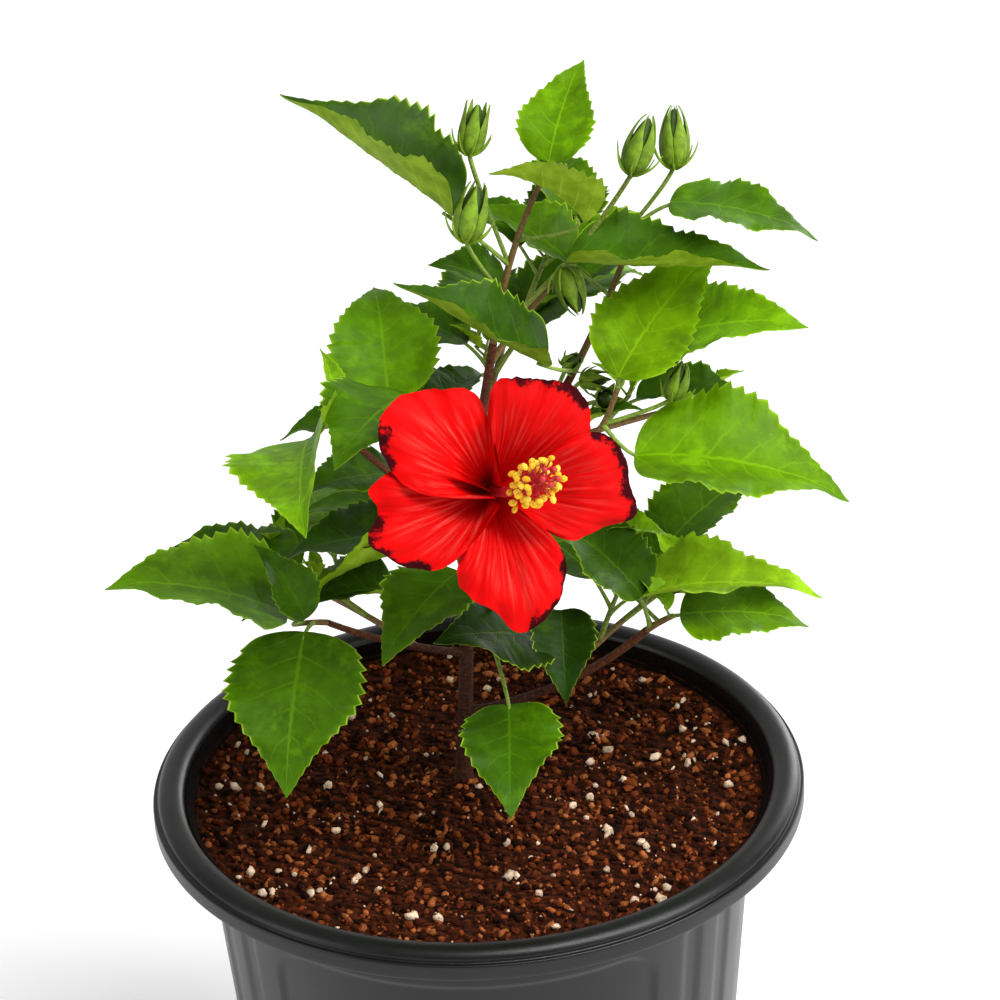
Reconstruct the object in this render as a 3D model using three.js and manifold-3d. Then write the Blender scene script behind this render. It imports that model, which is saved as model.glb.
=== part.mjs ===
// A potted hibiscus shrub: a moulded nursery pot filled with potting mix, one woody stem
// with its boughs, masses of toothed leaves on seeded twigs, buds, and one open bloom.
// Millimetres. Origin at the centre of the pot's flat underside, +Z up. The bloom looks
// towards -Y and a little right. Turn is a heading in plan from +X, rise the angle above level.
import * as THREE from "three";
import { mergeVertices } from "three/addons/utils/BufferGeometryUtils.js";
import Module from "manifold-3d";

const wasm = await Module();
wasm.setup();

// Pot, a 250 mm nursery pot
const POT_HEIGHT = 215;
const POT_NECK_HEIGHT = 203;
const POT_BASE_RADIUS = 88;
const POT_NECK_RADIUS = 106.4;
const POT_MOUTH_RADIUS = 112.3;
const POT_BEAD_RADIUS = 123;
const POT_SKIRT_RADIUS = 125;
const POT_SKIRT_DROP = 10;
const POT_WALL = 2.2;
const POT_FLOOR = 3;
const POT_PANEL_DEPTH = 0.9;
const POT_DRAIN_RADIUS = 7;
const POT_DRAIN_CIRCLE = 62;
const POT_DRAINS = 4;

// Potting mix
const SOIL_BELOW_RIM = 8.5;

// Stem and leaves
const CLEAR = 0.3;
const SMOOTH = 0.02;
const TRUNK_RADIUS = 3.1;
const TRUNK_TOP_RADIUS = 2.3;
const TRUNK_FLARE = 1.3;
const TWIG_RADIUS = 1.2;
const STALK_RADIUS = 1;
const LEAF_THICK = 1;
const LEAF_WIDE = 0.64;

// Bloom
const PETAL_REACH = 50;
const PETAL_RISE = 20;
const PETAL_THICK = 1.2;
const COLUMN_LONG = 66;
const ANTHER_REACH = 6.5;
const ANTHER_RADIUS = 1.7;
const CALYX_LONG = 9;

const SOIL_TOP = POT_HEIGHT - SOIL_BELOW_RIM;

// Every sloping piece is aimed by a turn and a rise.
function aim(turn, rise) {
  const t = THREE.MathUtils.degToRad(turn);
  const r = THREE.MathUtils.degToRad(rise);
  return new THREE.Vector3(Math.cos(r) * Math.cos(t), Math.cos(r) * Math.sin(t), Math.sin(r));
}

// A limb's line leaves its start on one heading and ends on another.
function line(start, { long, turn, rise, toTurn = turn, toRise = rise }) {
  const middle = start.clone().addScaledVector(aim(turn, rise), long / 2);
  const end = middle.clone().addScaledVector(aim(toTurn, toRise), long / 2);
  return new THREE.QuadraticBezierCurve3(start, middle, end);
}

// Same sequence of numbers from 0 to 1 for the same seed.
function seeded(seed) {
  let state = seed;
  return () => {
    state = (state * 48271) % 2147483647;
    return state / 2147483647;
  };
}

function solid(geometry) {
  const bare = geometry.index ? geometry.toNonIndexed() : geometry.clone();
  bare.deleteAttribute("normal");
  bare.deleteAttribute("uv");
  const merged = mergeVertices(bare, 1e-4);
  return new wasm.Manifold(
    new wasm.Mesh({
      numProp: 3,
      vertProperties: new Float32Array(merged.attributes.position.array),
      triVerts: new Uint32Array(merged.index.array),
    }),
  );
}

// Flat faces are joined again and slivers finer than SMOOTH are taken out of the surface.
function surface(body) {
  const mesh = body.asOriginal().simplify(SMOOTH).getMesh();
  const geometry = new THREE.BufferGeometry();
  geometry.setAttribute("position", new THREE.BufferAttribute(mesh.vertProperties, 3));
  geometry.setIndex(new THREE.BufferAttribute(mesh.triVerts, 1));
  geometry.computeVertexNormals();
  return geometry;
}

// The largest body is the piece itself; anything smaller is loose scrap.
function largest(body) {
  return body.decompose().reduce((a, b) => (b.volume() > a.volume() ? b : a));
}

function fuse(bodies) {
  return bodies.reduce((sum, body) => sum.add(body));
}

const shrub = new THREE.Group();

function addNode(name, geometry, color, roughness) {
  const material = new THREE.MeshStandardMaterial({ color, roughness, metalness: 0 });
  const mesh = new THREE.Mesh(geometry, material);
  mesh.name = name;
  shrub.add(mesh);
}

// A closed surface of revolution from a profile of [radius, height] pairs.
function turned(profile, segments) {
  const lathe = new THREE.LatheGeometry(
    profile.map(([radius, height]) => new THREE.Vector2(radius, height)),
    segments,
  );
  return lathe.rotateX(Math.PI / 2);
}

// A round limb of varying radius along a curve, closed at both ends.
function tube(curve, radiusAt, sides, steps) {
  const frames = curve.computeFrenetFrames(steps, false);
  const body = new THREE.CylinderGeometry(1, 1, 1, sides, steps);
  const at = body.getAttribute("position");
  for (let i = 0; i < at.count; i++) {
    const k = Math.round((at.getY(i) + 0.5) * steps);
    const radius = radiusAt(k / steps);
    const place = curve
      .getPointAt(k / steps)
      .addScaledVector(frames.binormals[k], at.getX(i) * radius)
      .addScaledVector(frames.normals[k], at.getZ(i) * radius);
    at.setXYZ(i, place.x, place.y, place.z);
  }
  return body;
}

// Leaf outline: half width along the midrib, 1 at its widest, rounded foot and long point.
function outline(s) {
  return 2.6 * s ** 0.5 * (1 - s);
}

// A leaf's midrib is an arc that bends down by its droop; the blade is a shallow V that
// opens along the upper side, rolled about the midrib. u runs foot to tip, v across.
function leafPoint(leaf, u, v, lift) {
  const { foot, turn, rise, long, wide, roll, fold, droop } = leaf;
  const steps = 8;
  const place = foot.clone();
  for (let k = 0; k < steps; k++) {
    const part = Math.min(Math.max(u * steps - k, 0), 1);
    const bend = droop * (0.5 - (k + 0.5) / steps);
    place.addScaledVector(aim(turn, rise + bend), (long * part) / steps);
  }
  const along = aim(turn, rise + droop * (0.5 - u));
  const side = aim(turn + 90, 0);
  const up = along.clone().cross(side);
  const tilt = THREE.MathUtils.degToRad(roll);
  const left = side.clone().multiplyScalar(Math.cos(tilt)).addScaledVector(up, -Math.sin(tilt));
  const top = up.clone().multiplyScalar(Math.cos(tilt)).addScaledVector(side, Math.sin(tilt));
  const half = Math.max((wide / 2) * outline(u), 0.5);
  const open = THREE.MathUtils.degToRad(fold);
  return place
    .addScaledVector(left, v * half * Math.cos(open))
    .addScaledVector(top, Math.abs(v) * half * Math.sin(open) + lift);
}

function blade(leaf) {
  const box = new THREE.BoxGeometry(2, 1, 1, 2, 4, 1);
  const at = box.getAttribute("position");
  for (let i = 0; i < at.count; i++) {
    const place = leafPoint(leaf, at.getY(i) + 0.5, -at.getX(i), at.getZ(i) * LEAF_THICK);
    at.setXYZ(i, place.x, place.y, place.z);
  }
  return box;
}

// The petiole runs straight from its shoot to a little way into the blade's foot.
function petiole(from, leaf) {
  const along = aim(leaf.turn, leaf.rise + leaf.droop / 2);
  const end = leaf.foot.clone().addScaledVector(along, 3);
  return tube(new THREE.LineCurve3(from, end), () => STALK_RADIUS, 3, 1);
}

// Pot. The wall turns out at the neck into a rim with a round bead, a groove and a skirt.
// Three broad panels, each with a flute on either side, are sunk into its outside.
const COLUMNS = [
  -44, -43, -32, -21.5, -10.5, 0, 10.5, 21.5, 32, 43, 44, 49.5, 50.5, 57.5, 58.5, 61.5, 62.5, 69.5, 70.5,
];
const SUNK = [
  [-43, 43],
  [50.5, 57.5],
  [62.5, 69.5],
];
const ROW_CLEAR = 0.1;
const PANEL_BOTTOM = 13;
const PANEL_TOP = 188;
const PANEL_FRONT = -96;

function potRadius(height) {
  return POT_BASE_RADIUS + ((POT_NECK_RADIUS - POT_BASE_RADIUS) * height) / POT_NECK_HEIGHT;
}

// The lathe's even columns are moved to the panels' edges, and the sunk wall is drawn in.
function panelled(profile, sunk = false) {
  const columns = COLUMNS.length * 3;
  const body = turned(profile, columns);
  const at = body.getAttribute("position");
  for (let i = 0; i < at.count; i++) {
    const even = THREE.MathUtils.radToDeg(Math.atan2(at.getY(i), at.getX(i)));
    const k = (Math.round((even / 360) * columns) + columns) % columns;
    const column = COLUMNS[k % COLUMNS.length];
    const angle = THREE.MathUtils.degToRad(
      PANEL_FRONT + column + 120 * Math.floor(k / COLUMNS.length),
    );
    const inPanel = at.getZ(i) > PANEL_BOTTOM - ROW_CLEAR && at.getZ(i) < PANEL_TOP + ROW_CLEAR;
    const deep = inPanel && SUNK.some(([from, to]) => column >= from && column <= to);
    const radius = Math.hypot(at.getX(i), at.getY(i)) - (sunk && deep ? POT_PANEL_DEPTH : 0);
    at.setXYZ(i, radius * Math.cos(angle), radius * Math.sin(angle), at.getZ(i));
  }
  return body;
}

function makePot() {
  const rim = POT_HEIGHT;
  const wall = (height) => [potRadius(height), height];
  const profile = [
    [0, 0],
    [POT_BASE_RADIUS - 1.4, 0],
    [POT_BASE_RADIUS, 1.4],
    wall(PANEL_BOTTOM - 1),
    wall(PANEL_BOTTOM),
    wall(PANEL_TOP),
    wall(PANEL_TOP + 1.5),
    wall(POT_NECK_HEIGHT),
    [POT_MOUTH_RADIUS - 2.6, rim - 5.8],
    [POT_MOUTH_RADIUS + 2.4, rim - 2.4],
    [POT_BEAD_RADIUS - 1.6, rim - 3.6],
    [POT_SKIRT_RADIUS - POT_WALL, rim - POT_SKIRT_DROP],
    [POT_SKIRT_RADIUS, rim - POT_SKIRT_DROP],
    [POT_SKIRT_RADIUS, rim - 4],
    [POT_BEAD_RADIUS + 0.2, rim - 2.7],
    [POT_BEAD_RADIUS - 1, rim - 0.3],
    [POT_MOUTH_RADIUS + 3.8, rim + 0.8],
    [POT_MOUTH_RADIUS, rim - 0.1],
    [POT_NECK_RADIUS - POT_WALL, POT_NECK_HEIGHT],
    [POT_BASE_RADIUS - POT_WALL, POT_FLOOR],
    [0, POT_FLOOR],
  ];
  let pot = solid(panelled(profile, true));
  for (let k = 0; k < POT_DRAINS; k++) {
    const hole = new THREE.CylinderGeometry(POT_DRAIN_RADIUS, POT_DRAIN_RADIUS, 4 * POT_FLOOR, 12);
    hole.rotateX(Math.PI / 2);
    hole.translate(POT_DRAIN_CIRCLE, 0, 0);
    hole.rotateZ(((k + 0.5) * 2 * Math.PI) / POT_DRAINS);
    pot = pot.subtract(solid(hole));
  }
  addNode("pot", surface(pot), 0x2e3032, 0.42);
}

// Potting mix, filling the pot to a little below the rim.
function makeSoil() {
  const inner = POT_NECK_RADIUS - POT_WALL;
  const slope = (POT_MOUTH_RADIUS - inner) / (POT_HEIGHT - 0.1 - POT_NECK_HEIGHT);
  const mix = panelled([
    [0, POT_FLOOR + CLEAR],
    [POT_BASE_RADIUS - POT_WALL - CLEAR, POT_FLOOR + CLEAR],
    [inner - 2 * CLEAR, POT_NECK_HEIGHT],
    [inner + slope * (SOIL_TOP - POT_NECK_HEIGHT) - 2 * CLEAR, SOIL_TOP],
    [0, SOIL_TOP],
  ]);
  addNode("potting_mix", surface(solid(mix)), 0x3a1f14, 0.95);
}

// Trunk and boughs
const trunkLine = line(new THREE.Vector3(-5.5, 12, SOIL_TOP + CLEAR), {
  long: 120, turn: 0, rise: 86, toTurn: 285, toRise: 82,
});

const BOUGHS = {
  bough_low_left: { at: 0.47, thick: [1.6, 1.2], long: 66, turn: 208, rise: 22, toTurn: 206, toRise: 36 },
  bough_upper_left: { at: 0.9, thick: [1.6, 1.2], long: 72, turn: 196, rise: 52, toTurn: 206, toRise: 50 },
  bough_leader: { at: 0.99, thick: [2.1, 1.6], long: 72, turn: 12, rise: 80, toTurn: 25, toRise: 78 },
  bough_right: { at: 0.8, thick: [1.9, 1.5], long: 85, turn: 21, rise: 57, toTurn: 19, toRise: 58 },
  bough_low_right: { at: 0.24, thick: [1.9, 1.5], long: 88, turn: 343, rise: 17, toTurn: 345, toRise: 46 },
};

function grown(limb, by) {
  return solid(tube(limb.curve, (t) => limb.radiusAt(t) + by, 8, limb.steps));
}

function cutClear(body, limb) {
  return largest(body.subtract(grown(limb, CLEAR)));
}

const trunk = {
  curve: trunkLine,
  steps: 10,
  radiusAt: (t) => {
    const taper = TRUNK_RADIUS + (TRUNK_TOP_RADIUS - TRUNK_RADIUS) * t;
    return taper + TRUNK_FLARE * Math.max(0, 1 - 9 * t) ** 2;
  },
};
const limbs = { trunk };
const limbBodies = {};

function makeLimbs() {
  limbBodies.trunk = grown(trunk, 0);
  addNode("trunk", surface(limbBodies.trunk), 0x5a4636, 0.85);
  for (const [name, bough] of Object.entries(BOUGHS)) {
    const [from, to] = bough.thick;
    const limb = {
      curve: line(trunkLine.getPoint(bough.at), bough),
      steps: 6,
      radiusAt: (t) => from + (to - from) * t,
    };
    limbs[name] = limb;
    let body = cutClear(grown(limb, 0), trunk);
    for (const other of Object.keys(limbBodies)) {
      if (other !== "trunk") body = cutClear(body, limbs[other]);
    }
    limbBodies[name] = body;
    addNode(name, surface(body), 0x6b4a35, 0.8);
  }
}

// Masses. A stem starts at its bough's tip, or on the side of the limb named by its
// place there. Each leaf row gives its place on the stem, its stalk's length, turn and
// rise, the blade's turn, rise and length, and what differs from the usual shape.
const leaf = (at, stalk, turn, rise, long, shape = {}) => ({ at, stalk, turn, rise, long, ...shape });
const bud = (at, stalk, turn, rise, long, thick) => ({ at, stalk, turn, rise, long, thick });

const MASSES = {
  foliage_top: {
    on: "bough_leader", long: 72, turn: 20, rise: 80, toTurn: 345, toRise: 64, thick: [1.5, 1],
    leaves: [
      leaf(1, [5, 30, 60], 62, 44, 42, { wide: 30, fold: 14 }),
      leaf(0.6, [32, 325, 24], 175, 35, 40, { wide: 46, fold: 40, roll: -28 }),
      leaf(0.45, [33, 205, 48], 160, 37, 76, { wide: 60, fold: 42, roll: -12, droop: -16 }),
      leaf(0.05, [15, 50, 60], 200, 35, 35, { wide: 30, fold: 20, roll: 20 }),
    ],
    buds: [bud(0.28, [37, 234, 55], 40, 70, 24, 15), bud(0.45, [49, 197, 74], 45, 70, 21, 12)],
    twig: { at: 0.05, long: 82, turn: 15, rise: 36, toTurn: 345, toRise: 60 },
    twigLeaves: [leaf(0.42, [13, 282, 38], 355, 0, 74, { wide: 48, fold: 36, roll: 5, droop: -20 })],
    twigBuds: [bud(1, [1, 345, 60], 20, 70, 25, 14), bud(0.42, [5, 300, 40], 300, -60, 20, 14)],
  },
  foliage_upper_right: {
    on: "bough_right", long: 68, turn: 17, rise: 60, toTurn: 350, toRise: 72, thick: [1.5, 1],
    leaves: [
      leaf(0.02, [43, 253, 29], 189, 40, 68, { wide: 44, fold: 38, roll: -12, droop: -20 }),
      leaf(0.5, [22, 190, 45], 150, 22, 42, { wide: 34 }),
      leaf(0.95, [15, 355, 35], 345, -9, 57, { wide: 38, fold: 10 }),
    ],
    buds: [bud(1, [24, 350, 56], 80, 75, 25, 14)],
  },
  foliage_right: {
    on: "bough_right", from: 0.45, long: 74, turn: 330, rise: 20, toTurn: 340, toRise: 75, thick: [1.4, 1],
    leaves: [
      leaf(1, [5, 280, 70], 40, 35, 62, { wide: 40, fold: 12, roll: -15 }),
      leaf(0.9, [28, 60, 24], 335, 18, 68, { wide: 44, fold: 20, roll: -20 }),
      leaf(0.75, [17, 320, -35], 352, -10, 82, { wide: 60, fold: 25, roll: -15 }),
      leaf(0.5, [10, 77, 50], 340, 25, 26),
    ],
    buds: [bud(0.75, [27, 5, 16], 20, 70, 16, 11)],
  },
  foliage_low_right: {
    on: "bough_low_right", long: 12, turn: 345, rise: 40, toTurn: 345, toRise: 30, thick: [1.4, 1.1],
    leaves: [
      leaf(0.2, [14, 195, 76], 355, 2, 68, { wide: 44 }),
      leaf(1, [6, 300, 30], 355, -4, 49, { wide: 38, fold: 8, roll: -8 }),
      leaf(0.1, [18, 240, 70], 150, 35, 44, { wide: 40, fold: 15 }),
      leaf(0.9, [5, 250, 60], 150, 40, 20, { fold: 40 }),
      leaf(0.5, [44, 137, 39], 350, 0, 32),
    ],
    buds: [],
  },
  foliage_low_left: {
    on: "bough_low_left", long: 14, turn: 206, rise: 20, toTurn: 200, toRise: 5, thick: [1.2, 1],
    leaves: [
      leaf(0.7, [8, 200, 35], 180, 16, 69, { wide: 66, fold: 20, roll: 15 }),
      leaf(1, [10, 305, 35], 140, 50, 34, { wide: 24, fold: 20 }),
      leaf(0.4, [10, 250, 10], 258, -42, 64, { wide: 52, fold: 5, droop: 20 }),
    ],
    buds: [],
  },
  foliage_upper_left: {
    on: "bough_upper_left", long: 14, turn: 195, rise: 60, toTurn: 340, toRise: 80, thick: [1.2, 1],
    leaves: [
      leaf(0.9, [14, 215, -35], 266, 0, 68, { wide: 58, fold: 35, roll: -35 }),
      leaf(1, [3, 150, 70], 120, 65, 20, { fold: 50 }),
      leaf(0.2, [22, 35, 15], 95, 33, 53, { wide: 42, droop: 60, fold: 15 }),
      leaf(0.3, [30, 352, 29], 242, 2, 60, { wide: 46, fold: 15 }),
    ],
    buds: [],
  },
  foliage_centre_left: {
    on: "trunk", from: 0.72, long: 50, turn: 120, rise: 70, toTurn: 120, toRise: 60, thick: [1.4, 1],
    leaves: [
      leaf(0.8, [16, 200, 30], 205, 8, 44, { wide: 36, fold: 12 }),
      leaf(0.35, [16, 200, 20], 185, -1, 52, { wide: 42, fold: 20 }),
      leaf(0.33, [18, 215, 10], 205, -4, 48, { wide: 36, fold: 35, roll: -35 }),
      leaf(0.1, [30, 213, 5], 195, 5, 36, { wide: 36 }),
    ],
    buds: [],
  },
  foliage_front: {
    on: "trunk", from: 0.62, long: 42, turn: 290, rise: 20, toTurn: 290, toRise: 50, thick: [1.4, 1],
    leaves: [
      leaf(1, [22, 203, 49], 228, -20, 49, { wide: 38, fold: 12 }),
      leaf(0.4, [27, 337, -13], 215, 22, 54, { wide: 38, fold: 8, roll: 25 }),
      leaf(0.6, [28, 358, 0], 270, -45, 36, { wide: 28 }),
      leaf(0.5, [36, 288, -45], 268, -20, 52, { wide: 38, fold: 10 }),
    ],
    buds: [],
  },
};

// Masses at the back. Their twigs and leaves come from the seed alone: a twig leaves the
// stem by the golden angle, leaves stand on it by turns, and one that would leave the
// mass's reach, or come too near a limb or another leaf, is made smaller or skipped.
const BACK_MASSES = {
  foliage_back_low: {
    on: "trunk", from: 0.6, long: 66, turn: 85, rise: 15, toRise: 5, thick: [1.5, 1],
    seed: 114, twigs: 5, centre: [5, 66, 288], reach: [80, 76, 60],
  },
  foliage_back_crown: {
    on: "bough_leader", from: 0.9, long: 50, turn: 45, rise: 30, toRise: 25, thick: [1.3, 1],
    seed: 2175, twigs: 4, centre: [52, 48, 416], reach: [58, 58, 42],
  },
  foliage_back_top: {
    on: "bough_leader", from: 0.45, long: 60, turn: 75, rise: 25, toRise: 15, thick: [1.4, 1],
    seed: 753, twigs: 5, centre: [26, 56, 374], reach: [70, 66, 50],
  },
  foliage_back_right: {
    on: "bough_right", from: 0.6, long: 76, turn: 30, rise: 0, toRise: -5, thick: [1.4, 1],
    seed: 2332, twigs: 4, centre: [98, 50, 334], reach: [70, 66, 42],
  },
  foliage_back_left: {
    on: "bough_low_left", from: 0.35, long: 72, turn: 130, rise: 5, toRise: -5, thick: [1.4, 1],
    seed: 570, twigs: 5, centre: [-68, 54, 270], reach: [78, 70, 48],
  },
  foliage_back_low_right: {
    on: "bough_low_right", from: 0.45, long: 70, turn: 45, rise: 20, toRise: 5, thick: [1.4, 1],
    seed: 98, twigs: 4, centre: [84, 50, 268], reach: [72, 66, 42],
  },
  foliage_back_upper_left: {
    on: "bough_upper_left", from: 0.35, long: 48, turn: 92, rise: 40, toRise: 20, thick: [1.3, 1],
    seed: 425, twigs: 4, centre: [-30, 50, 368], reach: [54, 56, 46],
  },
};
const SEEDED_LEAF = [46, 68];
const SHORTEST_LEAF = 30;
const LEAF_SPACE = 5;
const GOLDEN_PART = 0.618;
const TWIG_FAN = 170;

const taken = [];

function placeLeaf(stem, row) {
  const [stalkLong, stalkTurn, stalkRise] = row.stalk;
  const from = stem.getPoint(row.at);
  const foot = from.clone().addScaledVector(aim(stalkTurn, stalkRise), stalkLong);
  const usual = { wide: row.long * LEAF_WIDE, roll: 0, fold: 30, droop: 20 };
  return { ...usual, ...row, from, foot };
}

function bladeSamples(placed) {
  const across = [-0.9, -0.45, 0, 0.45, 0.9];
  return [0.1, 0.3, 0.5, 0.7, 0.85, 1].flatMap((u) => across.map((v) => leafPoint(placed, u, v, 0)));
}

function take(placed) {
  taken.push(...bladeSamples(placed));
}

function takeLine(curve) {
  for (let k = 0; k <= 12; k++) taken.push(curve.getPoint(k / 12));
}

function inReach(mass, point) {
  const [x, y, z] = point.toArray().map((c, i) => (c - mass.centre[i]) / mass.reach[i]);
  return x * x + y * y + z * z < 1;
}

function fits(mass, placed) {
  return bladeSamples(placed).every(
    (point) => inReach(mass, point) && taken.every((other) => point.distanceTo(other) > LEAF_SPACE),
  );
}

function seededTwigs(curve, mass) {
  const random = seeded(mass.seed);
  const twigs = [];
  for (let k = 0; k < mass.twigs; k++) {
    const turn = mass.turn + TWIG_FAN * (((k + 1) * GOLDEN_PART) % 1 - 0.5) + 20 * random();
    const long = 16 + 14 * random();
    const twig = line(curve.getPoint(0.4 + (0.6 * k) / (mass.twigs - 1)), {
      long, turn, rise: 40 * random(), toTurn: turn, toRise: 10 + 30 * random(),
    });
    const placed = [];
    for (let j = 0; j < 4; j++) {
      const side = j === 3 ? 0 : j % 2 ? 65 : -65;
      const stalk = [9 + 5 * random(), turn + side, 30 + 20 * random()];
      const row = {
        at: 0.55 + 0.15 * j, stalk, turn: turn + side + 20 * (random() - 0.5), rise: -10 + 35 * random(),
        long: SEEDED_LEAF[0] + (SEEDED_LEAF[1] - SEEDED_LEAF[0]) * random(), fold: 12 + 20 * random(),
      };
      for (; row.long > SHORTEST_LEAF; row.long *= 0.85) {
        const one = placeLeaf(twig, row);
        if (!fits(mass, one)) continue;
        placed.push(one);
        take(one);
        break;
      }
    }
    if (placed.length) twigs.push({ twig, placed });
  }
  return twigs;
}

function leafBody(placed) {
  return solid(blade(placed)).add(solid(petiole(placed.from, placed)));
}

const BUD_PROFILE = [
  [0, 0],
  [0.55, 0.08],
  [0.95, 0.3],
  [0.9, 0.55],
  [0.45, 0.85],
  [0, 1],
];

// A turned shape set on its foot along an axis.
function stood(profile, segments, foot, axis) {
  const body = turned(profile, segments);
  body.applyQuaternion(new THREE.Quaternion().setFromUnitVectors(new THREE.Vector3(0, 0, 1), axis));
  return body.translate(foot.x, foot.y, foot.z);
}

function budBody(stem, row) {
  const [stalkLong, stalkTurn, stalkRise] = row.stalk;
  const from = stem.getPoint(row.at);
  const foot = from.clone().addScaledVector(aim(stalkTurn, stalkRise), stalkLong);
  const axis = aim(row.turn, row.rise);
  const profile = BUD_PROFILE.map(([radius, part]) => [(radius * row.thick) / 2, part * row.long]);
  const end = foot.clone().addScaledVector(axis, row.long * 0.25);
  const stalk = tube(new THREE.QuadraticBezierCurve3(from, foot, end), () => STALK_RADIUS, 4, 3);
  return solid(stood(profile, 6, foot, axis)).add(solid(stalk));
}

function stemOf(mass) {
  const parent = limbs[mass.on];
  const start = parent.curve.getPoint(mass.from ?? 1);
  if (mass.from === undefined) start.addScaledVector(parent.curve.getTangent(1), CLEAR);
  const [from, to] = mass.thick;
  return { curve: line(start, mass), radiusAt: (t) => from + (to - from) * t };
}

function stemBody({ curve, radiusAt }) {
  return solid(tube(curve, radiusAt, 6, 5));
}

function addMass(name, mass, bodies) {
  let body = fuse(bodies);
  for (const limb of Object.values(limbs)) body = body.subtract(grown(limb, CLEAR));
  addNode(name, surface(largest(body)), 0x4d7f1e, 0.6);
}

function makeMasses() {
  const measured = Object.entries(MASSES).map(([name, mass]) => {
    const stem = stemOf(mass);
    const placed = mass.leaves.map((row) => placeLeaf(stem.curve, row));
    const twig = mass.twig && line(stem.curve.getPoint(mass.twig.at), mass.twig);
    if (twig) placed.push(...mass.twigLeaves.map((row) => placeLeaf(twig, row)));
    placed.forEach(take);
    takeLine(stem.curve);
    if (twig) takeLine(twig);
    return { name, mass, stem, twig, placed };
  });
  Object.values(limbs).forEach((limb) => takeLine(limb.curve));
  for (const { name, mass, stem, twig, placed } of measured) {
    const bodies = [stemBody(stem), ...placed.map(leafBody)];
    bodies.push(...mass.buds.map((row) => budBody(stem.curve, row)));
    if (twig) bodies.push(solid(tube(twig, () => TWIG_RADIUS, 6, 6)));
    if (twig) bodies.push(...mass.twigBuds.map((row) => budBody(twig, row)));
    addMass(name, mass, bodies);
  }
  for (const [name, mass] of Object.entries(BACK_MASSES)) {
    const stem = stemOf(mass);
    const bodies = [stemBody(stem)];
    for (const { twig, placed } of seededTwigs(stem.curve, mass)) {
      bodies.push(solid(tube(twig, () => TWIG_RADIUS, 4, 3)), ...placed.map(leafBody));
    }
    addMass(name, mass, bodies);
  }
}

// Bloom. Five petals leave a green calyx as a wide funnel, each lapped over the next, and
// the column of anthers stands out of its throat. right, up and axis are the face's frame.
const BLOOM_STALK = { long: 80, turn: 269, rise: 64, toTurn: 283, toRise: 20 };
const COLUMN = { long: COLUMN_LONG, turn: 283, rise: 20, toTurn: 301, toRise: 38 };
const PETALS = [
  { angle: 138, size: 1.06, half: 44 },
  { angle: 72, size: 0.86, half: 43 },
  { angle: 8, size: 0.94, half: 48 },
  { angle: -80, size: 0.95, half: 42 },
  { angle: -172, size: 0.95, half: 50 },
];
const PETAL_LAP = 2.4;
const ANTHERS = 9;

const bloomAxis = aim(BLOOM_STALK.toTurn, BLOOM_STALK.toRise);
const bloomRight = aim(BLOOM_STALK.toTurn + 90, 0);
const bloomUp = bloomAxis.clone().cross(bloomRight);

function outward(angle) {
  const a = THREE.MathUtils.degToRad(angle);
  return bloomRight.clone().multiplyScalar(Math.cos(a)).addScaledVector(bloomUp, Math.sin(a));
}

// u runs from the throat to the margin, v across the petal, lift along the axis.
function petalPoint(base, { angle, size, half }, u, v, lift) {
  const round = Math.sqrt(1 - Math.max(0, (u - 0.45) / 0.56) ** 2.2);
  const reach = 3 + PETAL_REACH * size * u * (1 - 0.1 * u * v * v);
  const height = PETAL_RISE * (1 - (1 - u) ** 2) + PETAL_LAP * (0.3 + 0.7 * u) * v;
  return base
    .clone()
    .addScaledVector(bloomAxis, height + lift)
    .addScaledVector(outward(angle + v * half * round), reach);
}

// The rows of a petal stand closer towards its round end.
function petalBody(base, petal) {
  const box = new THREE.BoxGeometry(2, 1, 1, 6, 6, 1);
  const at = box.getAttribute("position");
  for (let i = 0; i < at.count; i++) {
    const u = Math.sin(((at.getY(i) + 0.5) * Math.PI) / 2);
    const place = petalPoint(base, petal, u, -at.getX(i), at.getZ(i) * PETAL_THICK);
    at.setXYZ(i, place.x, place.y, place.z);
  }
  return solid(box);
}

function antherBodies(column) {
  const bodies = [];
  for (let k = 0; k < ANTHERS; k++) {
    const along = 0.62 + (0.33 * k) / ANTHERS;
    const foot = column.getPoint(along - 0.05);
    const tip = column.getPoint(along).addScaledVector(
      outward(360 * k * GOLDEN_PART), ANTHER_REACH,
    );
    const ball = new THREE.IcosahedronGeometry(ANTHER_RADIUS, 0).translate(tip.x, tip.y, tip.z);
    bodies.push(solid(tube(new THREE.LineCurve3(foot, tip), () => 0.6, 4, 1)), solid(ball));
  }
  return bodies;
}

function makeBloom() {
  const stalk = line(trunkLine.getPoint(0.93), BLOOM_STALK);
  const foot = stalk.getPoint(1);
  const base = foot.clone().addScaledVector(bloomAxis, CALYX_LONG * 0.8);
  const column = line(foot, COLUMN);
  const calyx = [
    [0, -1],
    [3, 0],
    [6.3, CALYX_LONG * 0.6],
    [6.7, CALYX_LONG],
    [0, CALYX_LONG],
  ];
  const bodies = [
    solid(tube(stalk, () => TWIG_RADIUS, 6, 6)),
    solid(stood(calyx, 8, foot, bloomAxis)),
    ...PETALS.map((petal) => petalBody(base, petal)),
    solid(tube(column, (t) => 2.2 - 0.9 * t, 7, 4)),
    ...antherBodies(column),
  ];
  takeLine(stalk);
  let body = fuse(bodies);
  for (const limb of Object.values(limbs)) body = body.subtract(grown(limb, CLEAR));
  addNode("bloom", surface(largest(body)), 0xd81c1c, 0.6);
}

makePot();
makeSoil();
makeLimbs();
makeBloom();
makeMasses();

export default shrub;
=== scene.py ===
# A potted hibiscus with one open bloom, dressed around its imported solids.
# Lengths are in millimetres until a mesh is made; turn is a heading in plan from +X and
# rise the angle above level, both in degrees, as in the part's own source.
import math

import bpy
import numpy as np
from mathutils import Matrix, Vector


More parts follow.
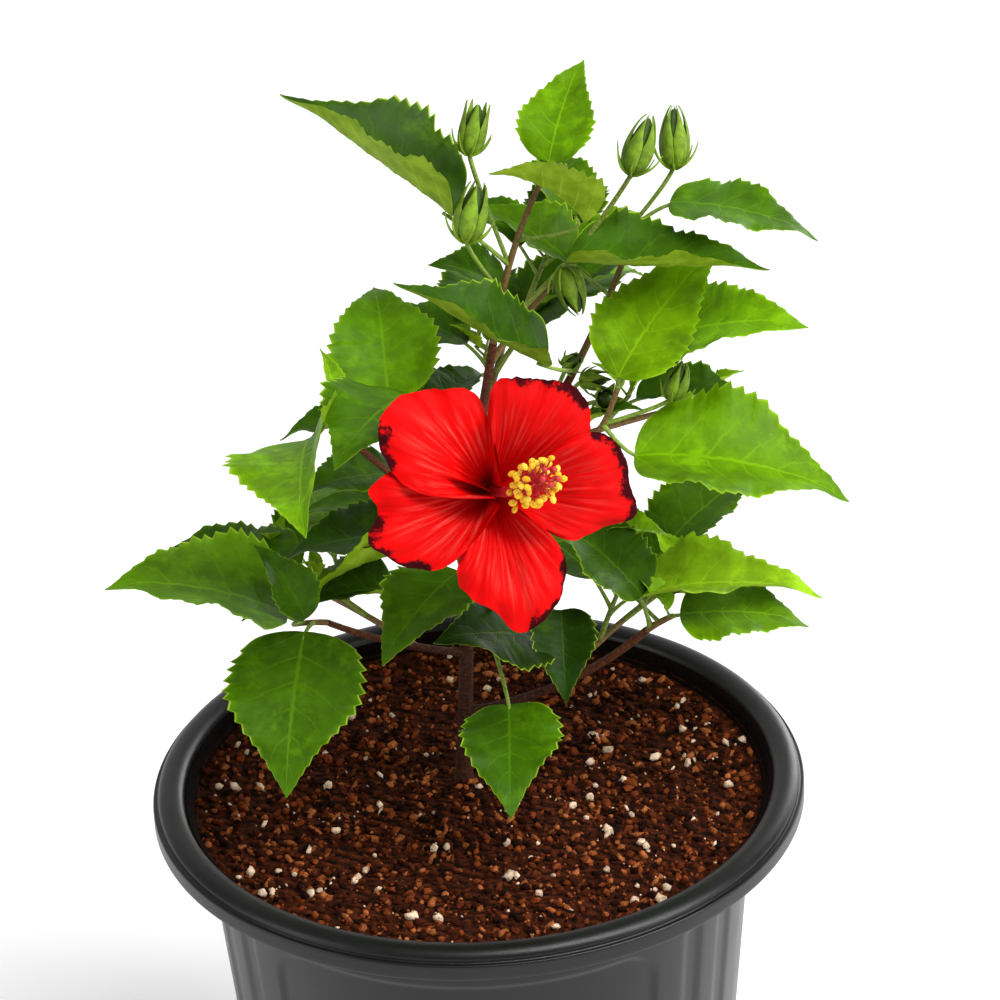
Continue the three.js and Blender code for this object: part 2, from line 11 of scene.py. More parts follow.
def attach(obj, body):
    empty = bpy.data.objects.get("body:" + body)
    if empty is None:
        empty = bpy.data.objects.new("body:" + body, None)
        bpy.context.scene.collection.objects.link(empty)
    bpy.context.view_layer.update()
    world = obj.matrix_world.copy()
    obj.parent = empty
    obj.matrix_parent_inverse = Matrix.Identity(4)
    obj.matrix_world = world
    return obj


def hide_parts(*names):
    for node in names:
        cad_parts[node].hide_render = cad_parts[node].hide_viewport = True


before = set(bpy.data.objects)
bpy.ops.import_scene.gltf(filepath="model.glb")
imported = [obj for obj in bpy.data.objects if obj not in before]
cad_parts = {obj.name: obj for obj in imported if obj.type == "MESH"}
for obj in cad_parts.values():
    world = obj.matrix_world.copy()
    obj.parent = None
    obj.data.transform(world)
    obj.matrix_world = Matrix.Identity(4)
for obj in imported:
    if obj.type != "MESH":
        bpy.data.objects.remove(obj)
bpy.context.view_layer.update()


# Studio. A plain pale floor that runs on behind the plant, broad soft lights above it, on
# either side and behind, and a long lens that looks down on it.
VIEW_DISTANCE = 1.91785
VIEW_RISE = 32.2
VIEW_PAN = 0.415
VIEW_TILT = 2.941
VIEW_ROLL = -2.983
VIEW_HEIGHT = 0.22162
VIEW_LENS, VIEW_SENSOR = 180, 36
LIT_POINT = (0, 0, 0.3)
LIGHTS = {
    "light_above": ((0.6, -0.7, 1.8), (0.9, 0.9), 29),
    "light_left": ((-1.6, -0.7, 0.8), (0.5, 1.4), 8),
    "light_right": ((1.5, -0.7, 1.2), (0.5, 1.4), 28),
    "light_back": ((1.2, 1.8, 0.6), (0.9, 1.2), 16),
}
SKY_STRENGTH = 0.4
FLOOR_GLOW = 0.2
FLOOR_HALF = 6
FLOOR_LINE = [(-5, 0), (0, 0), (2.2, 0), (3, 0.12), (3.6, 0.5), (4, 1.2), (4.2, 2.2), (4.2, 6)]


def aim(turn, rise):
    """Unit vector on a heading: cos(rise) times (cos, sin) of turn, and sin(rise) up."""
    turn, rise = np.broadcast_arrays(np.radians(turn), np.radians(rise))
    return np.stack([np.cos(rise) * np.cos(turn), np.cos(rise) * np.sin(turn), np.sin(rise)], -1)


def turned(a, b, angle):
    """Axes a and b, square to each other, both turned by an angle in their own plane."""
    c, s = math.cos(math.radians(angle)), math.sin(math.radians(angle))
    return a * c + b * s, b * c - a * s


def place_camera():
    """The lens looks at a point above the soil; pan, tilt and roll then turn its three axes."""
    back = aim(-90, VIEW_RISE)
    right = np.array([1.0, 0.0, 0.0])
    up = np.cross(back, right)
    ahead, right = turned(-back, right, VIEW_PAN)
    ahead, up = turned(ahead, up, VIEW_TILT)
    right, up = turned(right, up, VIEW_ROLL)
    data = bpy.data.cameras.new("camera")
    data.lens, data.sensor_width = VIEW_LENS, VIEW_SENSOR
    camera = bpy.data.objects.new("camera", data)
    place = back * VIEW_DISTANCE + np.array([0, 0, VIEW_HEIGHT])
    axes = np.stack([right, up, -ahead, place], axis=1)
    camera.matrix_world = Matrix([list(row) for row in axes] + [[0, 0, 0, 1]])
    bpy.context.scene.collection.objects.link(camera)
    bpy.context.scene.camera = camera


def soft_light(name, place, size, power):
    """A flat rectangular lamp that faces the middle of the plant."""
    data = bpy.data.lights.new(name, "AREA")
    data.shape = "RECTANGLE"
    data.size, data.size_y = size
    data.energy = power
    lamp = bpy.data.objects.new(name, data)
    lamp.location = place
    lamp.rotation_euler = (Vector(LIT_POINT) - Vector(place)).to_track_quat("-Z", "Y").to_euler()
    bpy.context.scene.collection.objects.link(lamp)


class Wire:
    """One socket of a material. Arithmetic on it adds Math nodes; node() adds any other."""

    def __init__(self, tree, socket=None):
        self.tree, self.socket = tree, socket

    def node(self, kind, settings=None, values=None, out=0):
        """One output of a new node, after its settings and its inputs, wired or plain."""
        made = self.tree.nodes.new(kind)
        for name, value in (settings or {}).items():
            setattr(made, name, value)
        for name, value in (values or {}).items():
            if isinstance(value, Wire):
                self.tree.links.new(value.socket, made.inputs[name])
            else:
                made.inputs[name].default_value = value
        return Wire(self.tree, made.outputs[out])

    def math(self, operation, *values):
        """This and further values put through a Math node."""
        values = dict(enumerate((self, *values)))
        return self.node("ShaderNodeMath", {"operation": operation}, values)

    def __add__(self, other):
        return self.math("ADD", other)

    def __mul__(self, other):
        return self.math("MULTIPLY", other)

    def __sub__(self, other):
        return self.math("SUBTRACT", other)

    def __rsub__(self, other):
        return self.node("ShaderNodeMath", {"operation": "SUBTRACT"}, {0: other, 1: self})

    __radd__, __rmul__ = __add__, __mul__

    def held(self, low, high):
        """0 below low, 1 above high, smooth between."""
        values = {0: self, 1: low, 2: high}
        return self.node("ShaderNodeMapRange", {"interpolation_type": "SMOOTHSTEP"}, values)

    def mixed(self, first, second):
        """first where this is 0, second where it is 1."""
        return self.node("ShaderNodeMix", {"data_type": "RGBA"}, {0: self, 6: first, 7: second}, 2)

    def toned(self, factor, added=None):
        """A colour times a factor and, where one is given, plus another colour."""
        kind, values = "ShaderNodeVectorMath", {0: self, "Scale": factor}
        made = self.node(kind, {"operation": "SCALE"}, values)
        return made if added is None else self.node(kind, {"operation": "ADD"}, {0: made, 1: added})

    def relief(self, strength, distance):
        """The normal of a surface raised by this height."""
        values = {"Height": self, "Strength": strength, "Distance": distance}
        return self.node("ShaderNodeBump", values=values)

    def place(self):
        """The object's own coordinates."""
        return self.node("ShaderNodeTexCoord", out=3)

    def reading(self, name, out=1):
        """A value kept on the mesh: out 0 is a colour, 1 a vector, 2 a number."""
        return self.node("ShaderNodeAttribute", {"attribute_name": name}, out=out)

    def part(self, axis):
        """One axis of a vector, as 0, 1 or 2."""
        return self.node("ShaderNodeSeparateXYZ", values={0: self}, out=axis)

    def noise(self, scale, detail=3.0, rough=0.5, at=None):
        """Noise on the object's own coordinates, or on those given as at."""
        values = {"Scale": scale, "Detail": detail, "Roughness": rough}
        return self.node("ShaderNodeTexNoise", values={"Vector": at or self.place(), **values})


def paint(red, green, blue):
    """A colour given as on a chart, 0 to 255, turned to the light it reflects."""
    chart = [c / 255 for c in (red, green, blue)]
    return (*[c / 12.92 if c <= 0.04045 else ((c + 0.055) / 1.055) ** 2.4 for c in chart], 1.0)


def finish(name, make, **fixed):
    """A material. make(wire) gives the sockets that vary; fixed are the same all over."""
    material = bpy.data.materials.new(name)
    material.use_nodes = True
    tree = material.node_tree
    shader = tree.nodes["Principled BSDF"]
    for socket, value in fixed.items():
        shader.inputs[socket.replace("_", " ")].default_value = value
    for socket, wire in make(Wire(tree)).items():
        tree.links.new(wire.socket, shader.inputs[socket])
    return material


def make_floor():
    """A flat sheet, level out to the back, where it lifts in a wide curve."""
    points = [(x, y, z) for y, z in FLOOR_LINE for x in (-FLOOR_HALF, 0, FLOOR_HALF)]
    k = np.arange(len(points)).reshape(-1, 3)
    quads = np.stack([k[:-1, :-1], k[:-1, 1:], k[1:, 1:], k[1:, :-1]], -1).reshape(-1, 4)
    mesh = bpy.data.meshes.new("floor")
    mesh.from_pydata(points, [], quads.tolist())
    mesh.shade_smooth()
    mesh.materials.append(finish(
        "floor_white", lambda wire: {}, Base_Color=paint(240, 240, 240), Roughness=0.9,
        Emission_Color=(1, 1, 1, 1), Emission_Strength=FLOOR_GLOW,
    ))
    floor = bpy.data.objects.new("floor", mesh)
    bpy.context.scene.collection.objects.link(floor)


place_camera()
make_floor()
for name, lamp in LIGHTS.items():
    soft_light(name, *lamp)
world = bpy.data.worlds.new("studio")
world.use_nodes = True
sky = world.node_tree.nodes["Background"].inputs
sky["Color"].default_value = (1, 1, 1, 1)
sky["Strength"].default_value = SKY_STRENGTH
bpy.context.scene.world = world
bpy.context.scene.view_settings.view_transform = "Standard"


# Pot. A 250 mm nursery pot, injection-moulded in black plastic: a smooth collar, three
# broad sunk panels with arched corners and a flute on each side of them, and a rim with
# a round bead, a groove and a skirt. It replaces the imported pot.
POT_BASE = 88
POT_NECK = 106.4
POT_NECK_HEIGHT = 203
POT_FLOOR = 3
POT_SIDES = 480
PANEL_FRONT = -96
PANEL_TURN = 120
PANEL_BOTTOM = 12.5
PANEL_TOP = 188.8
PANEL_DEPTH = 0.9
SUNK_SHAPES = [
    # turn of its middle, half its width in degrees, its corners' radius, its slope's width
    (0, 43.5, 17, 2.2), (54, 3.5, 5.5, 4.5), (-54, 3.5, 5.5, 4.5),
]
DRAIN_TURNS = (45, 135, 225, 315)
DRAIN_RADIUS = 7
DRAIN_CIRCLE = 62


class Stock:
    """Shells gathered into one mesh. Each is a grid of rings, and its two ends close on a point."""

    def __init__(self):
        self.count = 0
        self.points, self.quads, self.tris, self.kept = [], [], [], {}

    def shell(self, rings, **kept):
        """Adds one shell. kept are numbers or vectors for its points, or one for all of them."""
        rows, columns = rings.shape[:2]
        k = np.arange(rows * columns).reshape(rows, columns) + self.count
        after = np.roll(k, -1, axis=1)
        foot, tip = self.count + rows * columns, self.count + rows * columns + 1
        self.quads.append(np.stack([k[:-1], after[:-1], after[1:], k[1:]], -1).reshape(-1, 4))
        ends = [(after[0], k[0], foot), (k[-1], after[-1], tip)]
        self.tris += [np.stack([a, b, np.full(columns, c)], -1) for a, b, c in ends]
        self.points.append(np.concatenate([rings.reshape(-1, 3), rings[[0, -1]].mean(axis=1)]))
        for name, value in kept.items():
            value = np.asarray(value, float)
            if value.shape[:2] == (rows, columns):
                ends = value[[0, -1]].mean(axis=1)
                value = np.concatenate([value.reshape(rows * columns, -1), ends.reshape(2, -1)])
            else:
                value = np.broadcast_to(value.reshape(1, -1), (rows * columns + 2, value.size))
            self.kept.setdefault(name, []).append(value)
        self.count += rows * columns + 2

    def made(self, name, material, crease=None):
        """The shells as one object, in metres."""
        faces = [(self.quads, 4), (self.tris, 3)]
        faces = [(np.concatenate(f), n) for f, n in faces if f]
        corners = np.concatenate([f.ravel() for f, n in faces])
        sizes = np.concatenate([np.full(len(f), n) for f, n in faces])
        points = np.concatenate(self.points) * 0.001
        mesh = bpy.data.meshes.new(name)
        mesh.vertices.add(len(points))
        mesh.vertices.foreach_set("co", points.astype(np.float32).ravel())
        mesh.loops.add(len(corners))
        mesh.loops.foreach_set("vertex_index", corners.astype(np.int32))
        mesh.polygons.add(len(sizes))
        mesh.polygons.foreach_set("loop_start", (np.cumsum(sizes) - sizes).astype(np.int32))
        mesh.update(calc_edges=True)
        mesh.shade_smooth()
        for label, values in self.kept.items():
            values = np.concatenate(values).astype(np.float32)
            kind = "FLOAT_VECTOR" if values.shape[1] == 3 else "FLOAT"
            field = "vector" if values.shape[1] == 3 else "value"
            mesh.attributes.new(label, kind, "POINT").data.foreach_set(field, values.ravel())
        if crease:
            mesh.set_sharp_from_angle(angle=math.radians(crease))
        mesh.materials.append(material)
        made = bpy.data.objects.new(name, mesh)
        bpy.context.scene.collection.objects.link(made)
        return made

    def piece(self, name, material, slot, *nodes, crease=None):
        """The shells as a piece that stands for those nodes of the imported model."""
        made = self.made(name, material, crease)
        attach(made, "root")
        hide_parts(*nodes)
        return made


def eased(x):
    """0 below 0, 1 above 1, and 3x squared less 2x cubed between."""
    x = np.clip(x, 0, 1)
    return x * x * (3 - 2 * x)


def between(low, high, part):
    """The value part of the way from low to high."""
    return low + (high - low) * part


def circle(count):
    """Even turns round a circle, in radians."""
    return np.linspace(0, 2 * math.pi, count, endpoint=False)


def pot_radius(height):
    """The outside of the wall, which widens evenly from base to neck."""
    return between(POT_BASE, POT_NECK, height / POT_NECK_HEIGHT)


def sunk(angle, height):
    """How far a panel or flute draws the wall in: its depth times an eased step on the
    distance inside a rectangle of the unrolled wall whose corners are rounded."""
    turn = (angle - PANEL_FRONT + PANEL_TURN / 2) % PANEL_TURN - PANEL_TURN / 2
    middle, half = (PANEL_BOTTOM + PANEL_TOP) / 2, (PANEL_TOP - PANEL_BOTTOM) / 2
    depth = np.zeros_like(height)
    for place, half_wide, corner, slope in SUNK_SHAPES:
        wide = np.radians(np.abs(turn - place) - half_wide) * pot_radius(height) + corner
        up = np.abs(height - middle) - half + corner
        inside = np.hypot(np.maximum(wide, 0), np.maximum(up, 0))
        inside = inside + np.minimum(np.maximum(wide, up), 0)
        depth = np.maximum(depth, PANEL_DEPTH * eased((corner - inside) / slope))
    return depth


def arc(centre, reach, start, stop, count):
    """Points on part of an ellipse, as [radius, height] pairs."""
    t = np.radians(np.linspace(start, stop, count))
    return np.stack([centre[0] + reach[0] * np.cos(t), centre[1] + reach[1] * np.sin(t)], -1)


def make_pot():
    """A profile of [radius, height] pairs turned about the upright axis, its wall drawn in
    by the panels, and drilled for the drain holes."""
    levels = np.concatenate([
        [2, 6], np.linspace(10, 18, 9), np.linspace(22, 178, 40), np.linspace(180, 196, 21),
        [199, 203],
    ])
    foot = [[0.5, 0], [40, 0], [POT_BASE - 1.4, 0]]
    collar = [[107.4, 203.8], [109.4, 205.6], [111.6, 208.3], [113.2, 210.6], [115.4, 212.2]]
    groove = [[118, 212.4], [121.2, 211.4], [122.2, 208.6], [122.7, 205.5], [123.2, 205]]
    skirt = [[125, 207], [125, 209.4]]
    step = [[123.9, 211.4], [123.2, 211.7], [123.0, 212.0], [123.1, 212.4]]
    inside = [
        [112.5, 211.6], [111.4, 209.4], [108.6, 206], [104.3, 203], [103.2, 190], [95, 100],
        [86, 4.2], [84.9, 3.1], [84, POT_FLOOR], [40, POT_FLOOR], [0.5, POT_FLOOR],
    ]
    profile = np.concatenate([
        foot, arc((POT_BASE - 1.4, 1.4), (1.4, 1.4), -60, -5, 4),
        np.stack([pot_radius(levels), levels], -1), collar, groove,
        arc((124.3, 205.7), (0.7, 0.7), -90, -5, 4), skirt,
        arc((124.3, 210.6), (0.7, 1), 0, 80, 5), step,
        arc((118.0, 212.4), (5.1, 3.5), 8, 168, 26), inside,
    ])
    t = circle(POT_SIDES)
    radius, height = profile[:, :1] + 0 * t, profile[:, 1:] + 0 * t
    outside = np.arange(len(profile)) < np.argmax(profile[:, 0])
    radius = radius - sunk(np.degrees(t), height) * (outside[:, None] & (height > 5))
    inner = (np.arange(len(profile)) >= len(profile) - len(inside))[:, None] + 0 * t
    stock = Stock()
    stock.shell(np.stack([radius * np.cos(t), radius * np.sin(t), height], -1), inner=inner)

    def black_plastic(wire):
        grain, cloud = wire.noise(2200.0, 2.0), wire.noise(26.0, 4.0)
        dust = wire.noise(420.0, 3.0, 0.7).held(0.6, 0.78)
        base = (cloud.held(0.35, 0.7) * 0.5 + dust * 0.3).mixed(paint(3, 3, 4), paint(15, 16, 18))
        soiled = wire.noise(160.0, 4.0, 0.7).held(0.25, 0.6) * 0.3
        soiled = wire.reading("inner", 2) * (0.7 + soiled)
        return {
            "Base Color": soiled.mixed(base, paint(13, 7, 4)),
            "Roughness": 0.27 + cloud * 0.14 + dust * 0.1 + soiled * 0.5,
            "Normal": (grain + cloud * 3).relief(0.25, 0.0004),
        }

    plastic = finish("pot_plastic", black_plastic, Specular_IOR_Level=0.34)
    pot = stock.piece("nursery_pot", plastic, "pot_plastic", "pot", crease=50)
    drill = Stock()
    hole = DRAIN_RADIUS * aim(np.linspace(0, 360, 32, endpoint=False), 0)
    for turn in DRAIN_TURNS:
        drill.shell(DRAIN_CIRCLE * aim(turn, 0) + np.stack([hole - [0, 0, 5], hole + [0, 0, 8]]))
    drill = drill.made("drill", None)
    cut = pot.modifiers.new("drains", "BOOLEAN")
    cut.object, cut.solver = drill, "EXACT"
    drilled = pot.evaluated_get(bpy.context.evaluated_depsgraph_get())
    drilled = bpy.data.meshes.new_from_object(drilled)
    pot.modifiers.clear()
    pot.data = drilled
    bpy.data.objects.remove(drill)


make_pot()


# Potting mix. Coarse brown coir crumb to a little below the pot's rim: a lumpy block with
# white perlite on it and a thin film of mix up the wall, and loose chips of coir as a
# second piece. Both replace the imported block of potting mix.
SOIL_TOP = 206.5
SOIL_SINK = 0.6
SOIL_REACH = 109.6
SOIL_RINGS, SOIL_SIDES = 160, 400
SOIL_WALL = [
    [1, 3.4], [84, 3.4], [102, 190], [103.6, 202.6], [108, 205.9], [111, 209.4], [112.2, 211.7],
    [112.6, 212.6], [112.2, 212.7], [110.6, 209.6], [110, 208.4],
]
BUMPS = [(1.3, 46, 3), (1.5, 9, 4), (1.4, 4.5, 5)]
LEDGES = [(203.6, 0.7, 104.3), (206.5, 1.22, 108.6)]
CHIPS = 5600
CHIP_SIZE = (0.5, 2.0)
PERLITE = 250
PERLITE_SIZE = (0.4, 2.1)
PERLITE_SPOTS = [
    (-42, -9), (88, 44), (101, 28), (60, -74), (-26, -82), (48, 36), (-49, 63), (-14, 30),
    (88, 14), (63, -47), (11, -62), (-80, -61), (49, -32), (45, 15), (65, 46),
]
CRUMB_COLOURS = [(34, 12, 5), (66, 27, 10), (92, 40, 15), (124, 58, 24), (164, 92, 48)]
PERLITE_COLOUR = (255, 222, 190)


def unit(v):
    """A vector over its length."""
    return v / np.linalg.norm(v, axis=-1, keepdims=True)


def pigment(red, green, blue):
    """paint without its alpha, as an array."""
    return np.array(paint(red, green, blue)[:3])


def wobble(points, size, seed, octaves):
    """Soft bumps from -1 to 1: a mean of sine waves on seeded headings, each octave finer."""
    rng = np.random.default_rng(seed)
    total, weight = 0, 0
    for k in range(octaves):
        for heading in unit(rng.normal(size=(4, 3))):
            wave = 2 * math.pi * (points @ heading) * 1.8**k / size + 6.3 * rng.random()
            total = total + np.sin(wave) * 0.6**k
            weight += 2 * 0.6**k
    return total / weight


def tumbled(rng):
    """Three seeded axes, square to each other."""
    axes = np.linalg.qr(rng.normal(size=(3, 3)))[0]
    return axes * np.linalg.det(axes)


def lump(centre, size, rng, flat):
    """A ragged pebble: three rings of five points on a ball, each point pushed in or out."""
    ball = aim(72 * (np.arange(5) + rng.random()), np.array([[-50], [0], [50]]))
    ball = ball * (1 + 0.6 * (rng.random((3, 5, 1)) - 0.5))
    ball = ball * size * [0.9 + 1.3 * rng.random() ** 2, 0.65 + 0.4 * rng.random(), flat]
    tilt = np.linalg.qr(unit(np.eye(3) + 0.5 * (tumbled(rng) - np.eye(3))))[0]
    return centre + ball @ (tilt * np.linalg.det(tilt))


def scattered(reach, rng):
    """A seeded point, evenly spread over a disc."""
    return reach * math.sqrt(rng.random()) * aim(360 * rng.random(), 0)


def soil_height(x, y):
    """The crumb's surface: three sizes of soft bumps, held above the ledge inside the rim,
    which climbs outward in two slopes."""
    height = SOIL_TOP - SOIL_SINK
    for high, wide, seed in BUMPS:
        height = height + high * wobble(np.stack([x, y, 0 * x], -1), wide, seed, 3)
    for level, slope, start in LEDGES:
        height = np.maximum(height, level + slope * (np.hypot(x, y) - start))
    return height


def make_soil():
    """A round block whose top is a fine grid of rings, strewn with lumps of two kinds."""
    reach = SOIL_REACH * np.linspace(1, 0.01, SOIL_RINGS)
    profile = np.concatenate([SOIL_WALL, np.stack([reach, 0 * reach + SOIL_TOP], -1)])
    turn = circle(SOIL_SIDES)
    x, y = profile[:, :1] * np.cos(turn), profile[:, :1] * np.sin(turn)
    top = np.arange(len(profile))[:, None] >= len(SOIL_WALL)
    height = np.where(top, soil_height(x, y), profile[:, 1:])
    palette = np.array([pigment(*c) for c in CRUMB_COLOURS])
    # Painted shade: the crumb is painted darker in the low places between the finest bumps, down to a
    # fifth of the darkest crumb colour, and the film of mix up the wall takes that near-black tint all
    # over.
    crumbs = wobble(np.stack([x, y, 0 * x], -1), *BUMPS[-1][1:], 3)
    unshaded_high_part = (eased((crumbs + 0.25) / 0.6) * top)[..., None]
    stock, chips = Stock(), Stock()
    tint = between(palette[0] * 0.2, palette[2], unshaded_high_part)
    stock.shell(np.stack([x, y, height], -1), tint=tint)
    rng = np.random.default_rng(11)
    for _ in range(CHIPS):
        spot = scattered(SOIL_REACH * 0.99, rng)
        size = between(*CHIP_SIZE, rng.random() ** 1.8)
        spot[2] = soil_height(*spot[:2]) + size * 0.15
        colour = palette[int(rng.random() ** 1.15 * len(palette))] * (0.75 + 0.5 * rng.random())
        chips.shell(lump(spot, size, rng, 0.75), tint=colour)
    for k in range(PERLITE):
        if k < 4 * len(PERLITE_SPOTS):
            spot = np.array([*PERLITE_SPOTS[k % len(PERLITE_SPOTS)], 0.0])
            spot[:2] += rng.normal(size=2) * 2.6
        else:
            spot = scattered(SOIL_REACH * 0.96, rng)
        size = between(*PERLITE_SIZE, rng.random() ** 2.2)
        spot[2] = soil_height(*spot[:2]) + size * 0.7
        pale = pigment(*PERLITE_COLOUR) * (0.7 + 0.3 * rng.random())
        stock.shell(lump(spot, size, rng, 0.9), tint=pale)

    def crumb(wire):
        tint = wire.reading("tint", 0)
        coarse, fine = wire.noise(420.0, 4.0, 0.65), wire.noise(1500.0, 3.0, 0.6)
        shade = (coarse * 0.65 + fine * 0.35).held(0.36, 0.62)
        return {
            "Base Color": shade.mixed(tint.toned(0.36), tint),
            "Roughness": 0.95 - shade * 0.1,
            "Normal": (coarse * 0.8 + fine * 0.5).relief(0.9, 0.0008),
        }

    finished = finish("coir_crumb", crumb, Specular_IOR_Level=0.06)
    stock.piece("mix_and_perlite", finished, "potting_mix", "potting_mix")
    chips.piece("coir_chips", finished, "potting_mix", "potting_mix")


make_soil()


# Trunk and boughs. One woody stem as thick as a pencil, flared where it meets the mix,
# with thin dark brown bark; boughs leave it on short collars. They replace the packed
# trunk and boughs.
CLEAR = 0.3
TRUNK_FOOT = (-5.5, 12, SOIL_TOP + CLEAR)
TRUNK = (120, 0, 86, 285, 82)
TRUNK_THICK = (3.1, 2.3)
TRUNK_FLARE = 1.3
TRUNK_SUNK = 3
BOUGHS = {
    # place on the trunk, radius at foot and tip, and the way that bend() takes
    "bough_low_left": (0.47, (1.6, 1.2), (66, 208, 22, 206, 36)),
    "bough_upper_left": (0.9, (1.6, 1.2), (72, 196, 52, 206, 50)),
    "bough_leader": (0.99, (2.1, 1.6), (72, 12, 80, 25, 78)),
    "bough_right": (0.8, (1.9, 1.5), (85, 21, 57, 19, 58)),
    "bough_low_right": (0.24, (1.9, 1.5), (88, 343, 17, 345, 46)),
}


def bend(start, long, turn, rise, to_turn=None, to_rise=None):
    """A limb's line, as the three points of a quadratic curve: it leaves on one heading
    and arrives on another, half its length along each."""
    middle = start + aim(turn, rise) * long / 2
    end = aim(turn if to_turn is None else to_turn, rise if to_rise is None else to_rise)
    return np.array([start, middle, middle + end * long / 2])


def along(line, t):
    """The point at t on a quadratic curve."""
    t = np.asarray(t, float)[..., None]
    return (1 - t) ** 2 * line[0] + 2 * t * (1 - t) * line[1] + t * t * line[2]


def around(side, top, turn):
    """Directions at a turn, in radians, from side towards top."""
    return side * np.cos(turn)[..., None] + top * np.sin(turn)[..., None]


def limb(line, thick, sides, steps, shape=None):
    """Rings round a curve. thick gives the radius at t from 0 to 1; shape, where there is
    one, gives a factor from the rings' points."""
    t = np.linspace(0, 1, steps + 1)
    centre = along(line, t)
    ahead = unit(np.gradient(centre, axis=0))
    least = np.eye(3)[np.argmin(np.abs(ahead.mean(axis=0)))]
    side = unit(np.cross(ahead, least))
    out = around(side[:, None], np.cross(ahead, side)[:, None], circle(sides))
    out = out * thick(t)[:, None, None]
    rings = centre[:, None] + out
    return rings if shape is None else centre[:, None] + out * shape(rings)[..., None]


def bark_relief(rings):
    """Long shallow furrows and small corky warts, as a factor on the radius."""
    warts = eased((wobble(rings, 3.2, 8, 2) - 0.35) / 0.25)
    return 1 + 0.07 * wobble(rings * [1, 1, 0.22], 2.4, 7, 3) + 0.06 * warts


LIMBS = {"trunk": bend(np.array(TRUNK_FOOT), *TRUNK)}
for bough, (at, _, way) in BOUGHS.items():
    LIMBS[bough] = bend(along(LIMBS["trunk"], at), *way)


def make_bark():
    """The trunk is carried a little into the mix; each bough swells into a collar at its foot."""
    stock = Stock()
    foot = LIMBS["trunk"].copy()
    foot[0] -= aim(*TRUNK[1:3]) * TRUNK_SUNK
    stock.shell(limb(
        foot,
        lambda t: between(*TRUNK_THICK, t) + TRUNK_FLARE * np.maximum(0, 1 - 8 * t) ** 2,
        28, 150, bark_relief,
    ), woody=1.0)
    for bough, (_, thick, _) in BOUGHS.items():
        collar = 0.28 * thick[1]
        rings = limb(
            LIMBS[bough],
            lambda t: between(*thick, t) + collar * np.exp(-(((t - 0.04) / 0.04) ** 2)),
            20, 110, bark_relief,
        )
        young = 1 - 0.6 * eased(np.linspace(0, 1, len(rings)))[:, None] + 0 * rings[..., 0]
        stock.shell(rings, woody=young)

    def bark(wire):
        grain, patch = wire.noise(900.0, 5.0, 0.65), wire.noise(210.0, 3.0)
        furrow = grain.held(0.3, 0.7)
        old = furrow.mixed(paint(34, 15, 8), paint(80, 44, 27))
        young = furrow.mixed(paint(74, 30, 16), paint(112, 66, 34))
        age = (wire.reading("woody", 2) * 0.8 + patch * 0.3).held(0.25, 0.85)
        return {
            "Base Color": age.mixed(young, old),
            "Roughness": 0.9 - patch * 0.2,
            "Normal": grain.relief(0.6, 0.0006),
        }

    stock.piece("bark", finish("bark", bark, Specular_IOR_Level=0.2), "bark", "trunk", *BOUGHS)


make_bark()


# Twigs and leaves. Each mass is one stem that goes on from a limb, with stalked toothed
# leaves on it; at the back they stand on seeded twigs. Soft green wood, and satin leaves
# with a paler underside. Each mass of leaves replaces its packed mass.
TWIG_RADIUS = 1.2
STALK_RADIUS = 0.85
LEAF_WIDE = 0.64
LEAF_THICK = 0.5
MIDRIB_STEPS = 8
BLADE_RINGS, BLADE_SIDES = 92, 18
VEINS, VEIN_CURVE, VEIN_SLANT = 6.2, 1.25, 1.5
SEEDED_LEAF = (46, 68)
SHORTEST_LEAF = 30
LEAF_SPACE = 5
GOLDEN_PART = 0.618
TWIG_FAN = 170
DRAW_STEP = 48271
DRAW_WHOLE = 2**31 - 1
LEAF_COLOURS = [(25, 50, 0), (49, 86, 0), (76, 120, 0), (103, 152, 0), (138, 184, 24)]


def leaf(at, stalk, turn, rise, long, shade, **shape):
    """A leaf's place on its stem, its stalk's length, turn and rise, the blade's turn, rise
    and length, its shade in LEAF_COLOURS, and what differs from the usual shape. lean rolls
    the drawn blade alone, so that the seeded leaves still find the source's places."""
    usual = {"wide": long * LEAF_WIDE, "roll": 0, "fold": 30, "droop": 20, "lean": 0}
    return {"at": at, "stalk": stalk, "turn": turn, "rise": rise, "long": long, "shade": shade,
            **usual, **shape}


def bud(at, stalk, turn, rise, long, thick, open=0.0):
    """A bud's place on its stem, its stalk and heading as a leaf's, its length and
    thickness, and how far its sepals stand open."""
    return {"at": at, "stalk": stalk, "turn": turn, "rise": rise, "long": long, "thick": thick,
            "open": open}
